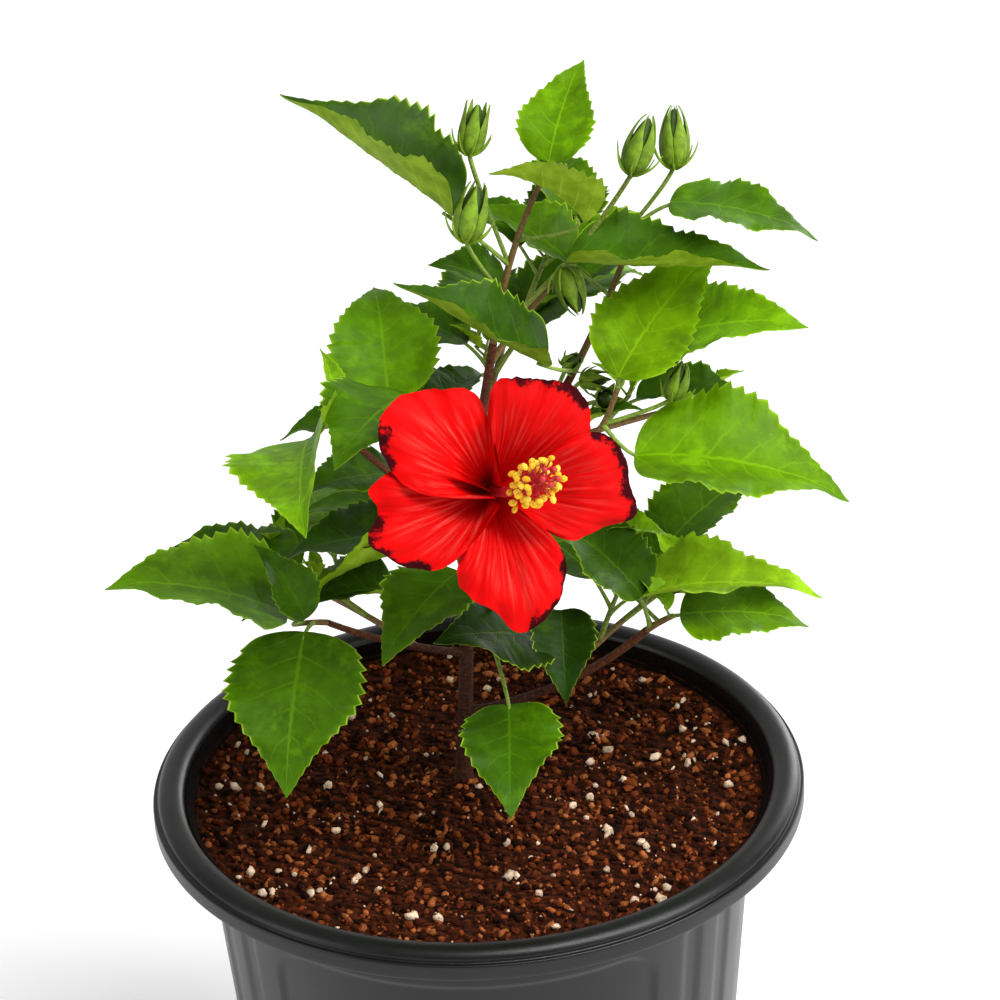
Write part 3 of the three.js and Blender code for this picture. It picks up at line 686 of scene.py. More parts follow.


# Each listed leaf's shade was fitted leaf by leaf, so it is partly the leaf's own tone and partly
# painted light and shade: leaves that lie in shade are painted darker, lit and backlit ones lighter.
MASSES = {
    "foliage_top": {
        "on": "bough_leader", "way": (72, 20, 80, 345, 64), "thick": (1.5, 1),
        "leaves": [
            leaf(1, (5, 30, 60), 62, 44, 42, 2.9, wide=30, fold=14),
            leaf(0.6, (32, 325, 24), 175, 35, 40, 1.3, wide=46, fold=40, roll=-28),
            leaf(0.45, (33, 205, 48), 160, 37, 76, 0.6, wide=60, fold=42, roll=-12, droop=-16),
            leaf(0.05, (15, 50, 60), 200, 35, 35, 1.4, wide=30, fold=20, roll=20),
        ],
        "buds": [
            bud(0.28, (37, 234, 55), 40, 70, 24, 15, 0.5), bud(0.45, (49, 197, 74), 45, 70, 21, 12, 1),
        ],
        "twig": (0.05, (82, 15, 36, 345, 60)),
        "twig_leaves": [
            leaf(0.42, (13, 282, 38), 355, 0, 74, 1.2, wide=48, fold=36, roll=5, droop=-20),
        ],
        "twig_buds": [bud(1, (1, 345, 60), 20, 70, 25, 14), bud(0.42, (5, 300, 40), 300, -60, 20, 14)],
    },
    "foliage_upper_right": {
        "on": "bough_right", "way": (68, 17, 60, 350, 72), "thick": (1.5, 1),
        "leaves": [
            leaf(0.02, (43, 253, 29), 189, 40, 68, 0.8, wide=44, fold=38, roll=-12, droop=-20, lean=20),
            leaf(0.5, (22, 190, 45), 150, 22, 42, 2.2, wide=34),
            leaf(0.95, (15, 355, 35), 345, -9, 57, 1.6, wide=38, fold=10),
        ],
        "buds": [bud(1, (24, 350, 56), 80, 75, 25, 14)],
    },
    "foliage_right": {
        "on": "bough_right", "from": 0.45, "way": (74, 330, 20, 340, 75), "thick": (1.4, 1),
        "leaves": [
            leaf(1, (5, 280, 70), 40, 35, 62, 3.2, wide=40, fold=12, roll=-15),
            leaf(0.9, (28, 60, 24), 335, 18, 68, 3.2, wide=44, fold=20, roll=-20),
            leaf(0.75, (17, 320, -35), 352, -10, 82, 2.7, wide=60, fold=25, roll=-15),
            leaf(0.5, (10, 77, 50), 340, 25, 26, 1.8),
        ],
        "buds": [bud(0.75, (27, 5, 16), 20, 70, 16, 11)],
    },
    "foliage_low_right": {
        "on": "bough_low_right", "way": (12, 345, 40, 345, 30), "thick": (1.4, 1.1),
        "leaves": [
            leaf(0.2, (14, 195, 76), 355, 2, 68, 3.9, wide=44),
            leaf(1, (6, 300, 30), 355, -4, 49, 2.4, wide=38, fold=8, roll=-8),
            leaf(0.1, (18, 240, 70), 150, 35, 44, 1.3, wide=40, fold=15),
            leaf(0.9, (5, 250, 60), 150, 40, 20, 4.0, fold=40),
            leaf(0.5, (44, 137, 39), 350, 0, 32, 4.0),
        ],
    },
    "foliage_low_left": {
        "on": "bough_low_left", "way": (14, 206, 20, 200, 5), "thick": (1.2, 1),
        "leaves": [
            leaf(0.7, (8, 200, 35), 180, 16, 69, 2.6, wide=66, fold=20, roll=15, lean=-15),
            leaf(1, (10, 305, 35), 140, 50, 34, 1.4, wide=24, fold=20),
            leaf(0.4, (10, 250, 10), 258, -42, 64, 1.5, wide=52, fold=5, droop=20),
        ],
    },
    "foliage_upper_left": {
        "on": "bough_upper_left", "way": (14, 195, 60, 340, 80), "thick": (1.2, 1),
        "leaves": [
            leaf(0.9, (14, 215, -35), 266, 0, 68, 3.1, wide=58, fold=35, roll=-35),
            leaf(1, (3, 150, 70), 120, 65, 20, 3.7, fold=50),
            leaf(0.2, (22, 35, 15), 95, 33, 53, 2.9, wide=42, droop=60, fold=15),
            leaf(0.3, (30, 352, 29), 242, 2, 60, 1.6, wide=46, fold=15),
        ],
    },
    "foliage_centre_left": {
        "on": "trunk", "from": 0.72, "way": (50, 120, 70, 120, 60), "thick": (1.4, 1),
        "leaves": [
            leaf(0.8, (16, 200, 30), 205, 8, 44, 1.3, wide=36, fold=12),
            leaf(0.35, (16, 200, 20), 185, -1, 52, 0.7, wide=42, fold=20),
            leaf(0.33, (18, 215, 10), 205, -4, 48, 2.2, wide=36, fold=35, roll=-35),
            leaf(0.1, (30, 213, 5), 195, 5, 36, 0.5, wide=36),
        ],
    },
    "foliage_front": {
        "on": "trunk", "from": 0.62, "way": (42, 290, 20, 290, 50), "thick": (1.4, 1),
        "leaves": [
            leaf(1, (22, 203, 49), 228, -20, 49, 1.5, wide=38, fold=12),
            leaf(0.4, (27, 337, -13), 215, 22, 54, 0.0, wide=38, fold=8, roll=25),
            leaf(0.6, (28, 358, 0), 270, -45, 36, 0.0, wide=28),
            leaf(0.5, (36, 288, -45), 268, -20, 52, 1.1, wide=38, fold=10),
        ],
    },
}
BACK_MASSES = {
    "foliage_back_low": ("trunk", 0.6, (66, 85, 15, 85, 5), 1.5, 114, 5, (5, 66, 288), (80, 76, 60)),
    "foliage_back_crown": (
        "bough_leader", 0.9, (50, 45, 30, 45, 25), 1.3, 2175, 4, (52, 48, 416), (58, 58, 42)),
    "foliage_back_top": (
        "bough_leader", 0.45, (60, 75, 25, 75, 15), 1.4, 753, 5, (26, 56, 374), (70, 66, 50)),
    "foliage_back_right": (
        "bough_right", 0.6, (76, 30, 0, 30, -5), 1.4, 2332, 4, (98, 50, 334), (70, 66, 42)),
    "foliage_back_left": (
        "bough_low_left", 0.35, (72, 130, 5, 130, -5), 1.4, 570, 5, (-68, 54, 270), (78, 70, 48)),
    "foliage_back_low_right": (
        "bough_low_right", 0.45, (70, 45, 20, 45, 5), 1.4, 98, 4, (84, 50, 268), (72, 66, 42)),
    "foliage_back_upper_left": (
        "bough_upper_left", 0.35, (48, 92, 40, 92, 20), 1.3, 425, 4, (-30, 50, 368), (54, 56, 46)),
}
BLOOM_AT = 0.93
BLOOM_STALK = (80, 269, 64, 283, 20)


def seeded(seed):
    """The source's own sequence: each number is the last one times DRAW_STEP, modulo
    DRAW_WHOLE."""
    state = seed
    while True:
        state = state * DRAW_STEP % DRAW_WHOLE
        yield state / DRAW_WHOLE


def outline(s):
    """Half width along the midrib, 1 at its widest, with a rounded foot and a long point."""
    return 2.6 * np.sqrt(s) * (1 - s)


def leaf_points(row, u, v, lift, half=None):
    """Points of a leaf. u runs foot to tip, v across. The midrib is an arc of eight steps
    that bends down by the droop; the blade is a V that opens along the upper side by its
    fold, rolled about the midrib; half is the half width, if not the plain outline's."""
    steps = np.arange(MIDRIB_STEPS)
    heading = aim(row["turn"], row["rise"] + row["droop"] * (0.5 - (steps + 0.5) / MIDRIB_STEPS))
    part = np.clip(u[..., None] * MIDRIB_STEPS - steps, 0, 1)
    place = row["foot"] + part @ heading * row["long"] / MIDRIB_STEPS
    ahead = aim(row["turn"], row["rise"] + row["droop"] * (0.5 - u))
    side = aim(row["turn"] + 90, 0)
    up = np.cross(ahead, side)
    left, top = turned(side, up, -row["roll"])
    if half is None:
        half = np.maximum(row["wide"] / 2 * outline(u), 0.5)
    fold = math.radians(row["fold"])
    across = (v * half * math.cos(fold))[..., None]
    rise = (np.sqrt(v * v + 0.006) * half * math.sin(fold) + lift)[..., None]
    return place + left * across + top * rise


def set_leaf(stem, row):
    """The row with the places where its stalk leaves the stem and meets the blade."""
    long, turn, rise = row["stalk"]
    start = along(stem, row["at"])
    return {**row, "start": start, "foot": start + aim(turn, rise) * long}


def samples(row):
    """Thirty points spread over a blade."""
    u, v = np.meshgrid([0.1, 0.3, 0.5, 0.7, 0.85, 1], [-0.9, -0.45, 0, 0.45, 0.9], indexing="ij")
    return leaf_points(row, u.ravel(), v.ravel(), 0)


def seeded_twigs(stem, heading, seed, count, centre, reach, taken):
    """Twigs leave the stem by the golden part of a fan, each with four leaves by turns. A
    leaf that would leave the mass's reach or come too near what is there is made smaller,
    and skipped once it is too short."""
    draw = seeded(seed)
    twigs = []
    for k in range(count):
        turn = heading + TWIG_FAN * (((k + 1) * GOLDEN_PART) % 1 - 0.5) + 20 * next(draw)
        long = 16 + 14 * next(draw)
        rise, to_rise = 40 * next(draw), 10 + 30 * next(draw)
        twig = bend(along(stem, 0.4 + 0.6 * k / (count - 1)), long, turn, rise, turn, to_rise)
        placed = []
        for j, side in enumerate((-65, 65, -65, 0)):
            stalk = (9 + 5 * next(draw), turn + side, 30 + 20 * next(draw))
            facing = turn + side + 20 * (next(draw) - 0.5)
            lift = -10 + 35 * next(draw)
            size = between(*SEEDED_LEAF, next(draw))
            fold = 12 + 20 * next(draw)
            shade = 1 + 2 * ((j * 0.37 + k * 0.61) % 1)
            while size > SHORTEST_LEAF:
                row = leaf(0.55 + 0.15 * j, stalk, facing, lift, size, shade, fold=fold)
                row = set_leaf(twig, row)
                points = samples(row)
                inside = (((points - centre) / reach) ** 2).sum(axis=1) < 1
                gaps = np.linalg.norm(points[:, None] - np.concatenate(taken)[None], axis=2)
                if inside.all() and gaps.min() > LEAF_SPACE:
                    placed.append(row)
                    taken.append(points)
                    break
                size *= 0.85
        if placed:
            twigs.append((twig, placed))
    return twigs


def blade(row, rng):
    """Rings round a blade. Its margin is toothed: the half width gains a saw of u on either
    side, and narrows to a drawn-out point. The surface sinks along the midrib and side
    veins, and the margin waves."""
    long, row = row["long"], {**row, "roll": row["roll"] + row["lean"]}
    u = np.linspace(0.003, 0.998, BLADE_RINGS)[:, None]
    turn = circle(BLADE_SIDES)
    v, over = np.cos(turn) + 0 * u, np.sin(turn) + 0 * u
    teeth = 8 + round(long / 8)
    saw = (u * teeth + np.where(v > 0, 0.0, 0.45)) % 1
    toothed = eased((u - 0.08) / 0.15) * eased((1.02 - u) / 0.1)
    pointed = 1 - 0.34 * eased((u - 0.4) / 0.52)
    half = row["wide"] / 2 * outline(u) * pointed * (1 + 0.12 * (saw**1.3 - 0.4) * toothed)
    uneven = 1 + 0.04 * np.sin(5 * u + 6 * rng.random()) * np.sign(v)
    half = np.maximum(half * uneven, 0.4)
    wave = np.sin(2 * math.pi * (1.7 * u + rng.random()) + np.where(v > 0, 0, 2.0))
    frill = 0.012 * np.sin(2 * math.pi * 5.3 * u + row["turn"] + 2 * v) * np.abs(v) ** 3
    ripple = long * (0.036 * wave * v * v + frill) * outline(u)
    tip = -0.05 * long * eased((u - 0.7) / 0.3) ** 2
    lane = (u * VEINS - np.abs(v) ** VEIN_CURVE * VEIN_SLANT) % 1
    quilt = 0.85 * np.sin(math.pi * lane) * outline(u) * np.abs(v) ** 0.5 * (1 - v * v)
    lift = ripple + tip + quilt + over * LEAF_THICK / 2
    points = leaf_points(row, u + 0 * v, v, lift, half)
    place = np.stack([u + 0 * v, v, np.where(over > 0.01, 1.0, -1.0) + 0 * u], -1)
    return points, place


def leaf_tint(shade, rng):
    """A colour between two neighbours in LEAF_COLOURS, a little warmer or cooler."""
    table = np.array([pigment(*c) for c in LEAF_COLOURS])
    shade = np.clip(shade + 0.35 * (rng.random() - 0.5), 0, len(table) - 1.001)
    low = int(shade)
    mix = between(table[low], table[low + 1], shade - low)
    return mix * (1 + [0.14, 0.06, 0.1] * (rng.random(3) - 0.5))


def stalk_rings(row):
    """A stalk that leaves its twig in a short thick joint and curves into the blade's foot."""
    ahead = aim(row["turn"], row["rise"] + row["droop"] / 2)
    end = row["foot"] + ahead * min(4, row["long"] * 0.1)
    line = np.array([row["start"], row["foot"] - ahead * row["stalk"][0] * 0.15, end])
    radius = STALK_RADIUS * min(1, 0.45 + row["long"] / 90)
    return limb(line, lambda t: radius * (1 + 0.35 * np.exp(-t * 12) - 0.2 * t), 8, 12)


def young_leaves(twig, rng):
    """A pair of small new leaves at the tip of a twig."""
    heading = unit(twig[2] - twig[1])
    turn = math.degrees(math.atan2(heading[1], heading[0]))
    rows = []
    for k in range(2):
        side = 150 * k + 60 * rng.random() - 75
        row = leaf(1, (3 + 3 * rng.random(), turn + side, 50), turn + side, 30 + 30 * rng.random(),
                   11 + 9 * rng.random(), 3.4, fold=45, droop=10)
        rows.append(set_leaf(twig, row))
    return rows


def leaf_skin(wire):
    """Green dealt out leaf by leaf, partly as painted light and shade, mottled above, with paler veins
    and margin, pale patches of painted sheen, and a pale underside."""
    place = wire.reading("place")
    u, v, side = place.part(0), place.part(1).math("ABSOLUTE"), place.part(2)
    lane = (u * VEINS - v.math("POWER", VEIN_CURVE) * VEIN_SLANT).math("FRACT")
    lateral = 1 - (0.5 - (lane - 0.5).math("ABSOLUTE")).held(0.01, 0.07)
    midrib = 1 - v.held(0.01, 0.05)
    vein = midrib.math("MAXIMUM", lateral * (1 - v) * 0.7)
    tint = wire.reading("tint", 0)
    light = tint.toned(1.55, (0.02, 0.03, 0.0))
    mottle, broad = wire.noise(130.0, 4.0, 0.6).held(0.3, 0.7), wire.noise(28.0, 3.0).held(0.35, 0.65)
    margin = v.held(0.82, 1.0) * 0.35
    upper = (mottle * 0.5 + broad * 0.5).mixed(tint.toned(0.48), tint)
    # Painted sheen: broad pale patches on the upper side stand in for glossy highlights.
    painted_sheen = wire.noise(75.0, 4.0, 0.65).held(0.5, 0.72) * 0.5
    upper = (vein * 0.45).math("MAXIMUM", margin).math("MAXIMUM", painted_sheen).mixed(upper, light)
    pale = tint.toned(0.4, tuple(0.6 * pigment(128, 160, 22)))
    pale = (mottle * 0.4 + vein * 0.5).mixed(pale, paint(174, 200, 62))
    under = (0.5 - side * 0.5).held(0.4, 0.6)
    relief = mottle * 0.3 - vein * 0.5 + wire.noise(700.0, 2.0) * 0.3
    return {
        "Base Color": under.mixed(upper, pale),
        "Roughness": 0.44 + under * 0.2 + mottle * 0.08,
        "Normal": relief.relief(0.5, 0.0005),
    }


def twig_skin(wire):
    """Green young wood that turns brown where it is old."""
    grain = wire.noise(800.0, 4.0, 0.6).held(0.3, 0.7)
    green = grain.mixed(paint(88, 118, 26), paint(134, 158, 52))
    brown = grain.mixed(paint(84, 38, 20), paint(128, 72, 38))
    return {
        "Base Color": wire.reading("woody", 2).held(0.2, 0.9).mixed(green, brown),
        "Roughness": 0.6 + grain * 0.15,
        "Normal": grain.relief(0.3, 0.0003),
    }


def stem_of(on, way, start):
    """A mass's stem: on from its limb's tip, or out of the limb's side at start."""
    line = LIMBS[on]
    if start is None:
        return bend(line[2] + unit(line[2] - line[1]) * CLEAR, *way)
    return bend(along(line, start), *way)


def grow():
    """Every mass with its stem, twigs and leaves, placed by the source's own rule."""
    t = np.arange(13) / 12
    taken = [along(bend(along(LIMBS["trunk"], BLOOM_AT), *BLOOM_STALK), t)]
    grown = {}
    for name, mass in MASSES.items():
        stem = stem_of(mass["on"], mass["way"], mass.get("from"))
        placed = [set_leaf(stem, row) for row in mass["leaves"]]
        twigs = []
        if "twig" in mass:
            at, way = mass["twig"]
            twig = bend(along(stem, at), *way)
            own = [set_leaf(twig, row) for row in mass["twig_leaves"]]
            twigs.append((twig, own))
            taken.append(along(twig, t))
        taken += [samples(row) for row in placed + [r for _, own in twigs for r in own]]
        taken.append(along(stem, t))
        grown[name] = (stem, mass["thick"], placed, twigs)
    taken += [along(line, t) for line in LIMBS.values()]
    for name, (on, start, way, thick, seed, count, centre, reach) in BACK_MASSES.items():
        stem = stem_of(on, way, start)
        twigs = seeded_twigs(stem, way[1], seed, count, centre, reach, taken)
        grown[name] = (stem, (thick, 1), [], twigs)
    return grown


def make_foliage():
    """The blades of each mass as one piece, and all stems, twigs and stalks as another. At
    the back each tip has a pair of young leaves."""
    skin, wood = finish("leaf_green", leaf_skin, Specular_IOR_Level=0.09), Stock()
    rng = np.random.default_rng(5)
    for name, (stem, thick, placed, twigs) in GROWN.items():
        stock = Stock()
        rows = placed + [row for _, own in twigs for row in own]
        back = name in BACK_MASSES
        tips = [twig for twig, _ in twigs if back] + ([stem] if back else [])
        for row in rows + [row for tip in tips for row in young_leaves(tip, rng)]:
            points, place = blade(row, rng)
            stock.shell(points, place=place, tint=leaf_tint(row["shade"], rng))
            wood.shell(stalk_rings(row), woody=0.1)
        wood.shell(limb(stem, lambda t: between(*thick, t), 10, 30), woody=0.7)
        for twig, _ in twigs:
            wood.shell(limb(twig, lambda t: TWIG_RADIUS * (1 - 0.25 * t), 10, 24), woody=0.4)
        stock.piece("leaves_" + name.removeprefix("foliage_"), skin, "leaf_green", name, crease=60)
    wood.piece("twigs", finish("twig_green", twig_skin), "leaf_green", *GROWN)


GROWN = grow()
make_foliage()


# Buds. Each is a green calyx of five pointed sepals round the furled petals, in a ring of
# thin bracts, on a stalk of its own. They replace those fused to three masses, and three
# small late ones stand on the right-hand bough.
SEPALS = 5
BRACTS = 7
BUD_TRIM = (0.94, 0.88)
BUD_NODES = ("foliage_top", "foliage_upper_right", "foliage_right")
LATE_BUDS = [
    (0.7, (28.8, 6, 68), 300, 40, 11, 8, 0.2),
    (0.75, (23.7, 347, 53), 330, 10, 12, 9, 0.6),
    (0.8, (23.7, 330, 25), 290, 30, 9, 9, 1.6),
]


def across(axis):
    """Two axes square to a third."""
    side = unit(np.cross(axis, [0, 0, 1]))
    return side, np.cross(axis, side)


def sepal(foot, axis, turn, long, radius, half):
    """A pointed blade bent round an axis: radius(u) from it, half(u) degrees to each side."""
    u, ring = np.linspace(0.01, 0.99, 22)[:, None], circle(14)
    v, over = np.cos(ring), -np.sin(ring)
    keel = 0.9 * (1 - np.abs(v)) * (1 - u) ** 0.5
    reach = (radius(u) + keel + 0.3 * over)[..., None]
    out = around(*across(axis), np.radians(turn + v * half(u)))
    return foot + axis * (long * u)[..., None] + out * reach


def bracts(stock, foot, axis, long, spread, tint):
    """Thin tapering bracts that leave the foot outward and curve up beside the calyx."""
    for k in range(BRACTS):
        out = around(*across(axis), np.array(2 * math.pi * (k + 0.3) / BRACTS))
        line = np.array([
            foot + out, foot + out * spread * 0.8 + axis * long * 0.2,
            foot + out * spread + axis * long,
        ])
        stock.shell(limb(line, lambda t: 0.75 - 0.55 * t, 6, 10), tint=tint)


def add_bud(stock, wood, stem, row):
    """The furled petals are a pointed egg, 2.3 root u times (1 - u) to three quarters wide."""
    long, thick = row["long"] * BUD_TRIM[0], row["thick"] * BUD_TRIM[1]
    start = along(stem, row["at"])
    foot = start + aim(*row["stalk"][1:]) * row["stalk"][0]
    axis = aim(row["turn"], row["rise"])
    line = np.array([start, foot - axis * 2, foot + axis * 1.5])
    wood.shell(limb(line, lambda t: 0.85 + 0.5 * eased((t - 0.85) / 0.15), 8, 20), woody=0.1)
    u = np.linspace(0.01, 0.97, 24)[:, None]
    angle = circle(30)
    egg = 2.3 * np.sqrt(u) * (1 - u) ** 0.75 * thick / 2
    furl = (egg * (0.7 + 0.05 * np.cos(5 * angle + 4 * u)))[..., None]
    petals = foot + axis * (long * 0.96 * u)[..., None] + around(*across(axis), angle) * furl
    green = pigment(116, 150, 28)
    stock.shell(petals, tint=pigment(52, 76, 10))
    for k in range(SEPALS):
        stock.shell(sepal(
            foot, axis, 72 * k + 20, long,
            lambda u: 1.95 * np.sqrt(u) * (1 - u) ** 0.8 * thick / 2 + (0.3 + row["open"]) * 3.2 * u**4,
            lambda u: 35 * np.minimum(1, (1.9 * (1 - u)) ** 0.9 / (0.4 + u)) ** 0.8,
        ), tint=green * (0.8 + 0.14 * (k % 3)))
    bracts(stock, foot, axis, long * 0.42, thick * 0.72, green * 1.15)


def bud_skin(wire):
    """The colour dealt to each part, mottled by a fine grain."""
    grain = wire.noise(330.0, 4.0, 0.6)
    tint = wire.reading("tint", 0)
    return {
        "Base Color": grain.held(0.35, 0.65).mixed(tint.toned(0.62), tint),
        "Roughness": 0.5 + grain * 0.2,
        "Normal": grain.relief(0.3, 0.0006),
    }


def make_buds():
    """The late buds, then those of the masses, and their stalks as a piece of their own."""
    stock, wood = Stock(), Stock()
    for row in LATE_BUDS:
        add_bud(stock, wood, LIMBS["bough_right"], bud(*row))
    for name, mass in MASSES.items():
        stem, _, _, twigs = GROWN[name]
        for row in mass.get("buds", []):
            add_bud(stock, wood, stem, row)
        for row in mass.get("twig_buds", []):
            add_bud(stock, wood, twigs[0][0], row)
    green = finish("bud_green", bud_skin, Specular_IOR_Level=0.25)
    stock.piece("buds", green, "leaf_green", *BUD_NODES, crease=50)
    wood.piece("bud_stalks", finish("stalk_green", twig_skin), "leaf_green", *BUD_NODES)


make_buds()


# Bloom. Five thin red petals make a wide funnel, each lapped over the next, with ragged
# margins that have begun to dry. A dark column stands out of the throat, ringed by yellow
# anthers. A green calyx holds them on a long stalk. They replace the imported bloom.
PETAL_RISE = 20
PETAL_LAP = 2.4
PETAL_THICK = 0.7
CALYX_LONG = 9
COLUMN = (66, 283, 20, 301, 38)
ANTHERS = 54
ANTHER_COLOURS = [(250, 196, 22), (244, 176, 10), (255, 214, 60)]
STIGMAS = 5
STIGMA_STEP = 1.2566
PETALS = [
    # turn, half fan, reaches of the margin clockwise edge to the other, dried part, shade (painted
    # shade)
    (130, 42, (31, 39.5, 44, 48.5, 53, 53.4, 47.3, 39, 30), (0.1, 0.75, 0.8), 0.79),
    (58, 38, (33, 40.5, 45.2, 46.8, 45.4, 43.6, 43, 42, 35), (-0.6, 0.7, 1.0), 0.62),
    (-6, 42, (27, 33, 38.5, 49.5, 47, 46.8, 45.3, 41.5, 33), (-0.45, 0.85, 1.0), 0.63),
    (-90, 46, (29, 34.5, 38.6, 41.2, 50, 46.6, 41.8, 34.5, 25), (0.0, 0.95, 0.9), 0.79),
    (-172, 40, (32, 41.5, 48.6, 45.0, 51, 46.8, 42, 35, 27), (-0.3, 0.75, 0.95), 0.77),
]
BLOOM_LINE = bend(along(LIMBS["trunk"], BLOOM_AT), *BLOOM_STALK)
BLOOM_AXIS = aim(*BLOOM_STALK[3:])
BLOOM_RIGHT = aim(BLOOM_STALK[3] + 90, 0)
BLOOM_UP = np.cross(BLOOM_AXIS, BLOOM_RIGHT)


def through(values, s):
    """A smooth curve through evenly spaced values, read at s from 0 to 1 (Catmull-Rom)."""
    padded = np.concatenate([[values[0]], values, [values[-1]]])
    s = np.clip(s, 0, 1) * (len(values) - 1)
    k = np.minimum(s.astype(int), len(values) - 2)
    f = s - k
    a, b, c, d = (padded[k + j] for j in range(4))
    return b + 0.5 * f * (c - a + f * (2 * a - 5 * b + 4 * c - d + f * (3 * (b - c) + d - a)))


def petal(k):
    """Rings round a petal, side to side. u runs throat to margin, v across the fan; the
    surface climbs as 1 - (1 - u) squared and its margin is rolled back and ruffled."""
    turn, half, margin, dried, shade = PETALS[k]
    v = -np.cos(np.linspace(0.02, math.pi - 0.02, 120))[:, None]
    ring = circle(76)
    u, over = (1 - np.cos(ring)) / 2 + 0 * v, np.sin(ring)
    edge = through(np.array(margin, float), (v + 1) / 2)
    ragged = 1.7 * wobble(np.stack([v * 9, v * 0 + k, v * 0], -1), 1.3, 20 + k, 4)
    edge = 2.2 + (edge + ragged - 2.2) * (1 - np.abs(v) ** 16) ** 0.5
    reach = 2.2 + (edge - 2.2) * u
    height = PETAL_RISE * (1 - (1 - u) ** 2) + PETAL_LAP * (0.3 + 0.7 * u) * v
    height = height - 2.2 * eased((u - 0.7) / 0.3) ** 2
    height = height + 1.3 * u**4 * np.sin(9.3 * v + 1.7 * k) + 0.7 * u**6 * np.sin(23 * v + k)
    veins = 0.16 * np.sin(54 * v) + 0.12 * np.sin(31 * v + 2 * u)
    height = height + veins * np.minimum(1, 3 * (1 - u)) * np.minimum(1, 4 * u)
    height = height + over * PETAL_THICK / 2
    out = around(BLOOM_RIGHT, BLOOM_UP, np.radians(turn + v * half))
    base = BLOOM_LINE[2] + BLOOM_AXIS * CALYX_LONG * 0.8
    points = base + BLOOM_AXIS * height[..., None] + out * reach[..., None]
    burnt = eased((v - dried[0]) / 0.12) * eased((dried[1] - v) / 0.12) * dried[2]
    burnt = burnt * eased((u - 0.8) / 0.2) + 0.12 * eased((u - 0.97) / 0.03)
    lean = 1 + 0.7 * np.maximum(0, np.cos(np.radians(turn + v * half - 62)))
    throat = 1 - eased((reach / lean - 3) / 5)
    return {"rings": points, "place": np.stack([u, v + 0 * u + 2.5 * k, throat], -1),
            "burnt": burnt, "shade": shade}


def petal_skin(wire):
    """Scarlet with painted shade per petal, fine streaks along each petal, pink streaks of painted
    sheen, a deep red throat and dried margins.
    """
    place, burnt = wire.reading("place"), wire.reading("burnt", 2)
    u, v, throat = place.part(0), place.part(1), place.part(2)
    streaks = wire.node("ShaderNodeCombineXYZ", values={0: u * 1.8, 1: v * 12.0})
    streak = wire.noise(1.0, 4.0, 0.6, streaks)
    fine = wire.noise(2.6, 3.0, 0.6, streaks)
    cloud = wire.noise(55.0, 3.0)
    red = cloud.held(0.35, 0.65).mixed(paint(216, 0, 0), paint(242, 4, 6))
    # Painted sheen: pale pink streaks across the middle of each petal, weaker on the petals painted
    # darker.
    painted_pink_sheen = streak.held(0.46, 0.7) * u.held(0.1, 0.36) * (1 - u.held(0.5, 0.95))
    # Painted shade: each petal's red is scaled by its own shade, lower on the petals that face away
    # from the light.
    shade = wire.reading("shade", 2)
    red = (painted_pink_sheen * (shade - 0.4) * 1.1).mixed(red, paint(255, 108, 96))
    red = (fine.held(0.5, 0.7) * 0.32).mixed(red, paint(176, 0, 4)).toned(shade)
    deep = (throat + (streak - 0.5) * 0.3).held(0.1, 0.95).mixed(red, paint(186, 2, 6))
    ragged = (burnt + (wire.noise(130.0, 4.0, 0.68) - 0.5) * 2.4).held(0.55, 0.9)
    return {
        "Base Color": ragged.mixed(deep, paint(50, 2, 7)),
        "Roughness": 0.6 + ragged * 0.25,
        "Normal": (streak + fine * 0.6).relief(0.35, 0.0006),
    }


def ball(centre, axes, sizes):
    """A small egg of five rings of seven points, along three axes."""
    points = aim(np.arange(7) * 360 / 7, np.array([[-60], [-28], [0], [28], [60]]))
    return centre + (points * sizes) @ axes


def column_skin(wire):
    """Deep red, and lighter on the threads and stigmas."""
    grain = wire.noise(500.0, 3.0)
    base = grain.mixed(paint(120, 0, 14), paint(196, 12, 28))
    return {
        "Base Color": wire.reading("pale", 2).mixed(base, paint(226, 44, 36)),
        "Roughness": 0.5 + grain * 0.1,
    }


def pollen(wire):
    """Yellow dealt out to each anther, with a powdery grain."""
    grain = wire.noise(2600.0, 3.0, 0.7)
    tint = wire.reading("tint", 0)
    return {
        "Base Color": grain.held(0.35, 0.6).mixed(tint.toned(0.7), tint),
        "Roughness": 0.8 + grain * 0.1,
        "Normal": grain.relief(0.8, 0.0004),
    }


def make_petals():
    """The five petals as one piece."""
    stock = Stock()
    for k in range(len(PETALS)):
        stock.shell(**petal(k))
    red = finish("petal_red", petal_skin, Specular_IOR_Level=0.06)
    stock.piece("petals", red, "petal_red", "bloom")


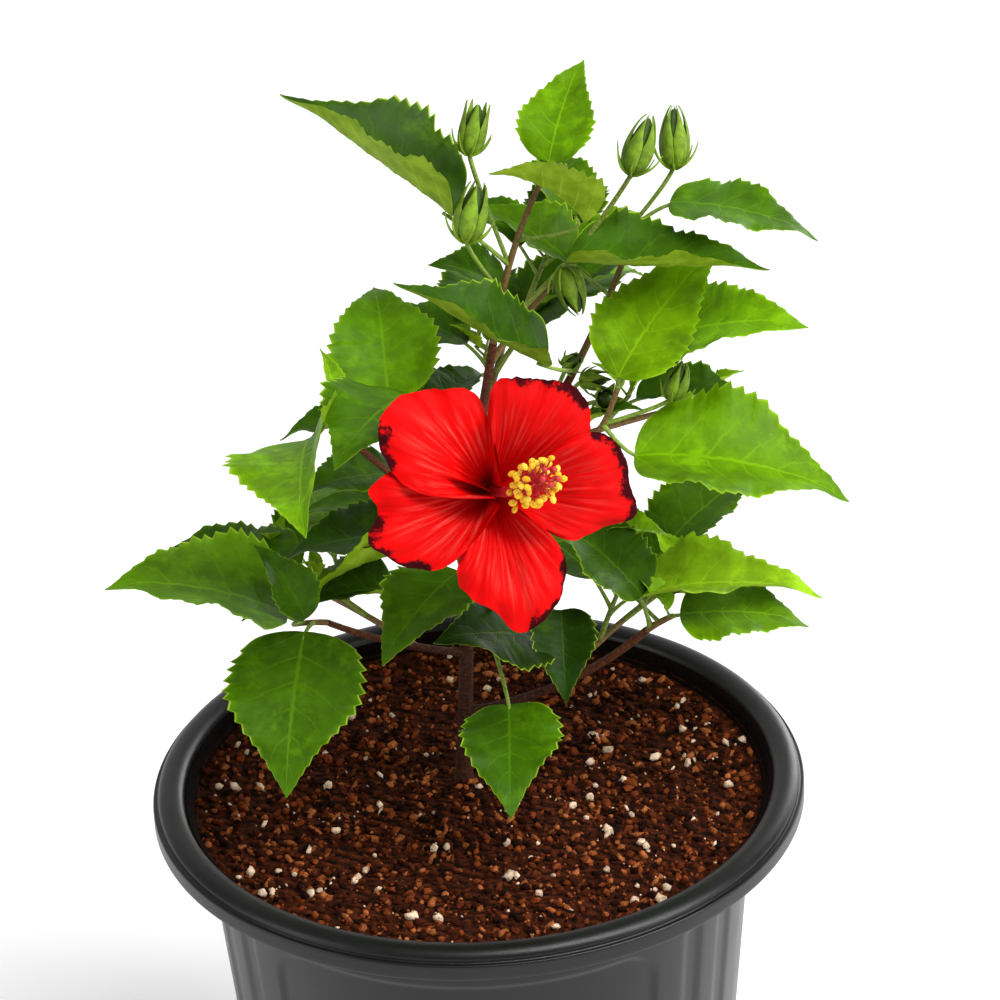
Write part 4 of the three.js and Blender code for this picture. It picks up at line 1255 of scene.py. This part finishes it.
def make_column():
    """A tapering column, with anthers on short threads round its upper third, each a golden
    part of a turn on from the last, and round stigmas at its tip."""
    core, yellow = Stock(), Stock()
    column = bend(BLOOM_LINE[2], *COLUMN)
    ahead = unit(column[2] - column[1])
    core.shell(limb(column, lambda t: 2.3 - 1.2 * t, 14, 50), pale=0.0)
    rng = np.random.default_rng(3)
    for k in range(ANTHERS):
        t = 0.66 + 0.3 * (k + rng.random()) / ANTHERS
        turn = np.radians(360 * GOLDEN_PART * k + 20 * rng.random())
        out = around(BLOOM_RIGHT, BLOOM_UP, turn)
        foot = along(column, t - 0.06)
        tip = along(column, t) + out * (5.6 + 2.6 * rng.random()) + ahead * (1 + 2 * rng.random())
        thread = np.array([foot, (foot + tip) / 2 + ahead, tip])
        core.shell(limb(thread, lambda t: 0.35 + 0 * t, 5, 5), pale=0.35)
        egg = ball(tip, tumbled(rng), np.array([1.65, 1.3, 1.05]))
        yellow.shell(egg, tint=pigment(*ANTHER_COLOURS[k % 3]))
    side, other = across(ahead)
    for k in range(STIGMAS):
        tip = column[2] + around(side, other, np.array(STIGMA_STEP * k)) * 3 + ahead * 3.2
        line = np.array([column[2] - ahead, column[2] + ahead * 1.6, tip])
        core.shell(limb(line, lambda t: 0.5 + 0 * t, 6, 6), pale=0.2)
        core.shell(ball(tip, np.stack([side, other, ahead]), np.array([1.25, 1.25, 1.1])), pale=0.1)
    core.piece("column", finish("column_red", column_skin), "petal_red", "bloom")
    yellow.piece("anthers", finish("pollen_yellow", pollen), "petal_red", "bloom")


def make_calyx():
    """Sepals on a cup, ringed by bracts, and the long stalk."""
    green, stalk = Stock(), Stock()
    foot = BLOOM_LINE[2]
    leafy = pigment(104, 136, 40)
    for k in range(SEPALS):
        green.shell(sepal(
            foot, BLOOM_AXIS, 72 * k, 15,
            lambda u: 3 + 12.5 * u**1.4,
            lambda u: 37 * (1 - u) ** 0.6 + 3 * (1 - u),
        ), tint=leafy * (0.9 + 0.06 * (k % 3)))
    cup = np.array([foot - BLOOM_AXIS, foot + BLOOM_AXIS * 1.5, foot + BLOOM_AXIS * 7])
    green.shell(limb(cup, lambda t: 1.4 + 3.2 * t, 20, 10), tint=leafy)
    bracts(green, foot, BLOOM_AXIS, 7, 9, leafy * 1.2)
    green.piece("calyx", finish("calyx_green", bud_skin), "leaf_green", "bloom", crease=50)
    rings = limb(BLOOM_LINE, lambda t: 1.3 - 0.2 * t + 0.5 * eased((t - 0.93) / 0.07), 12, 60)
    stalk.shell(rings, woody=0.15)
    stalk.piece("bloom_stalk", finish("bloom_stalk_green", twig_skin), "leaf_green", "bloom")


make_petals()
make_column()
make_calyx()
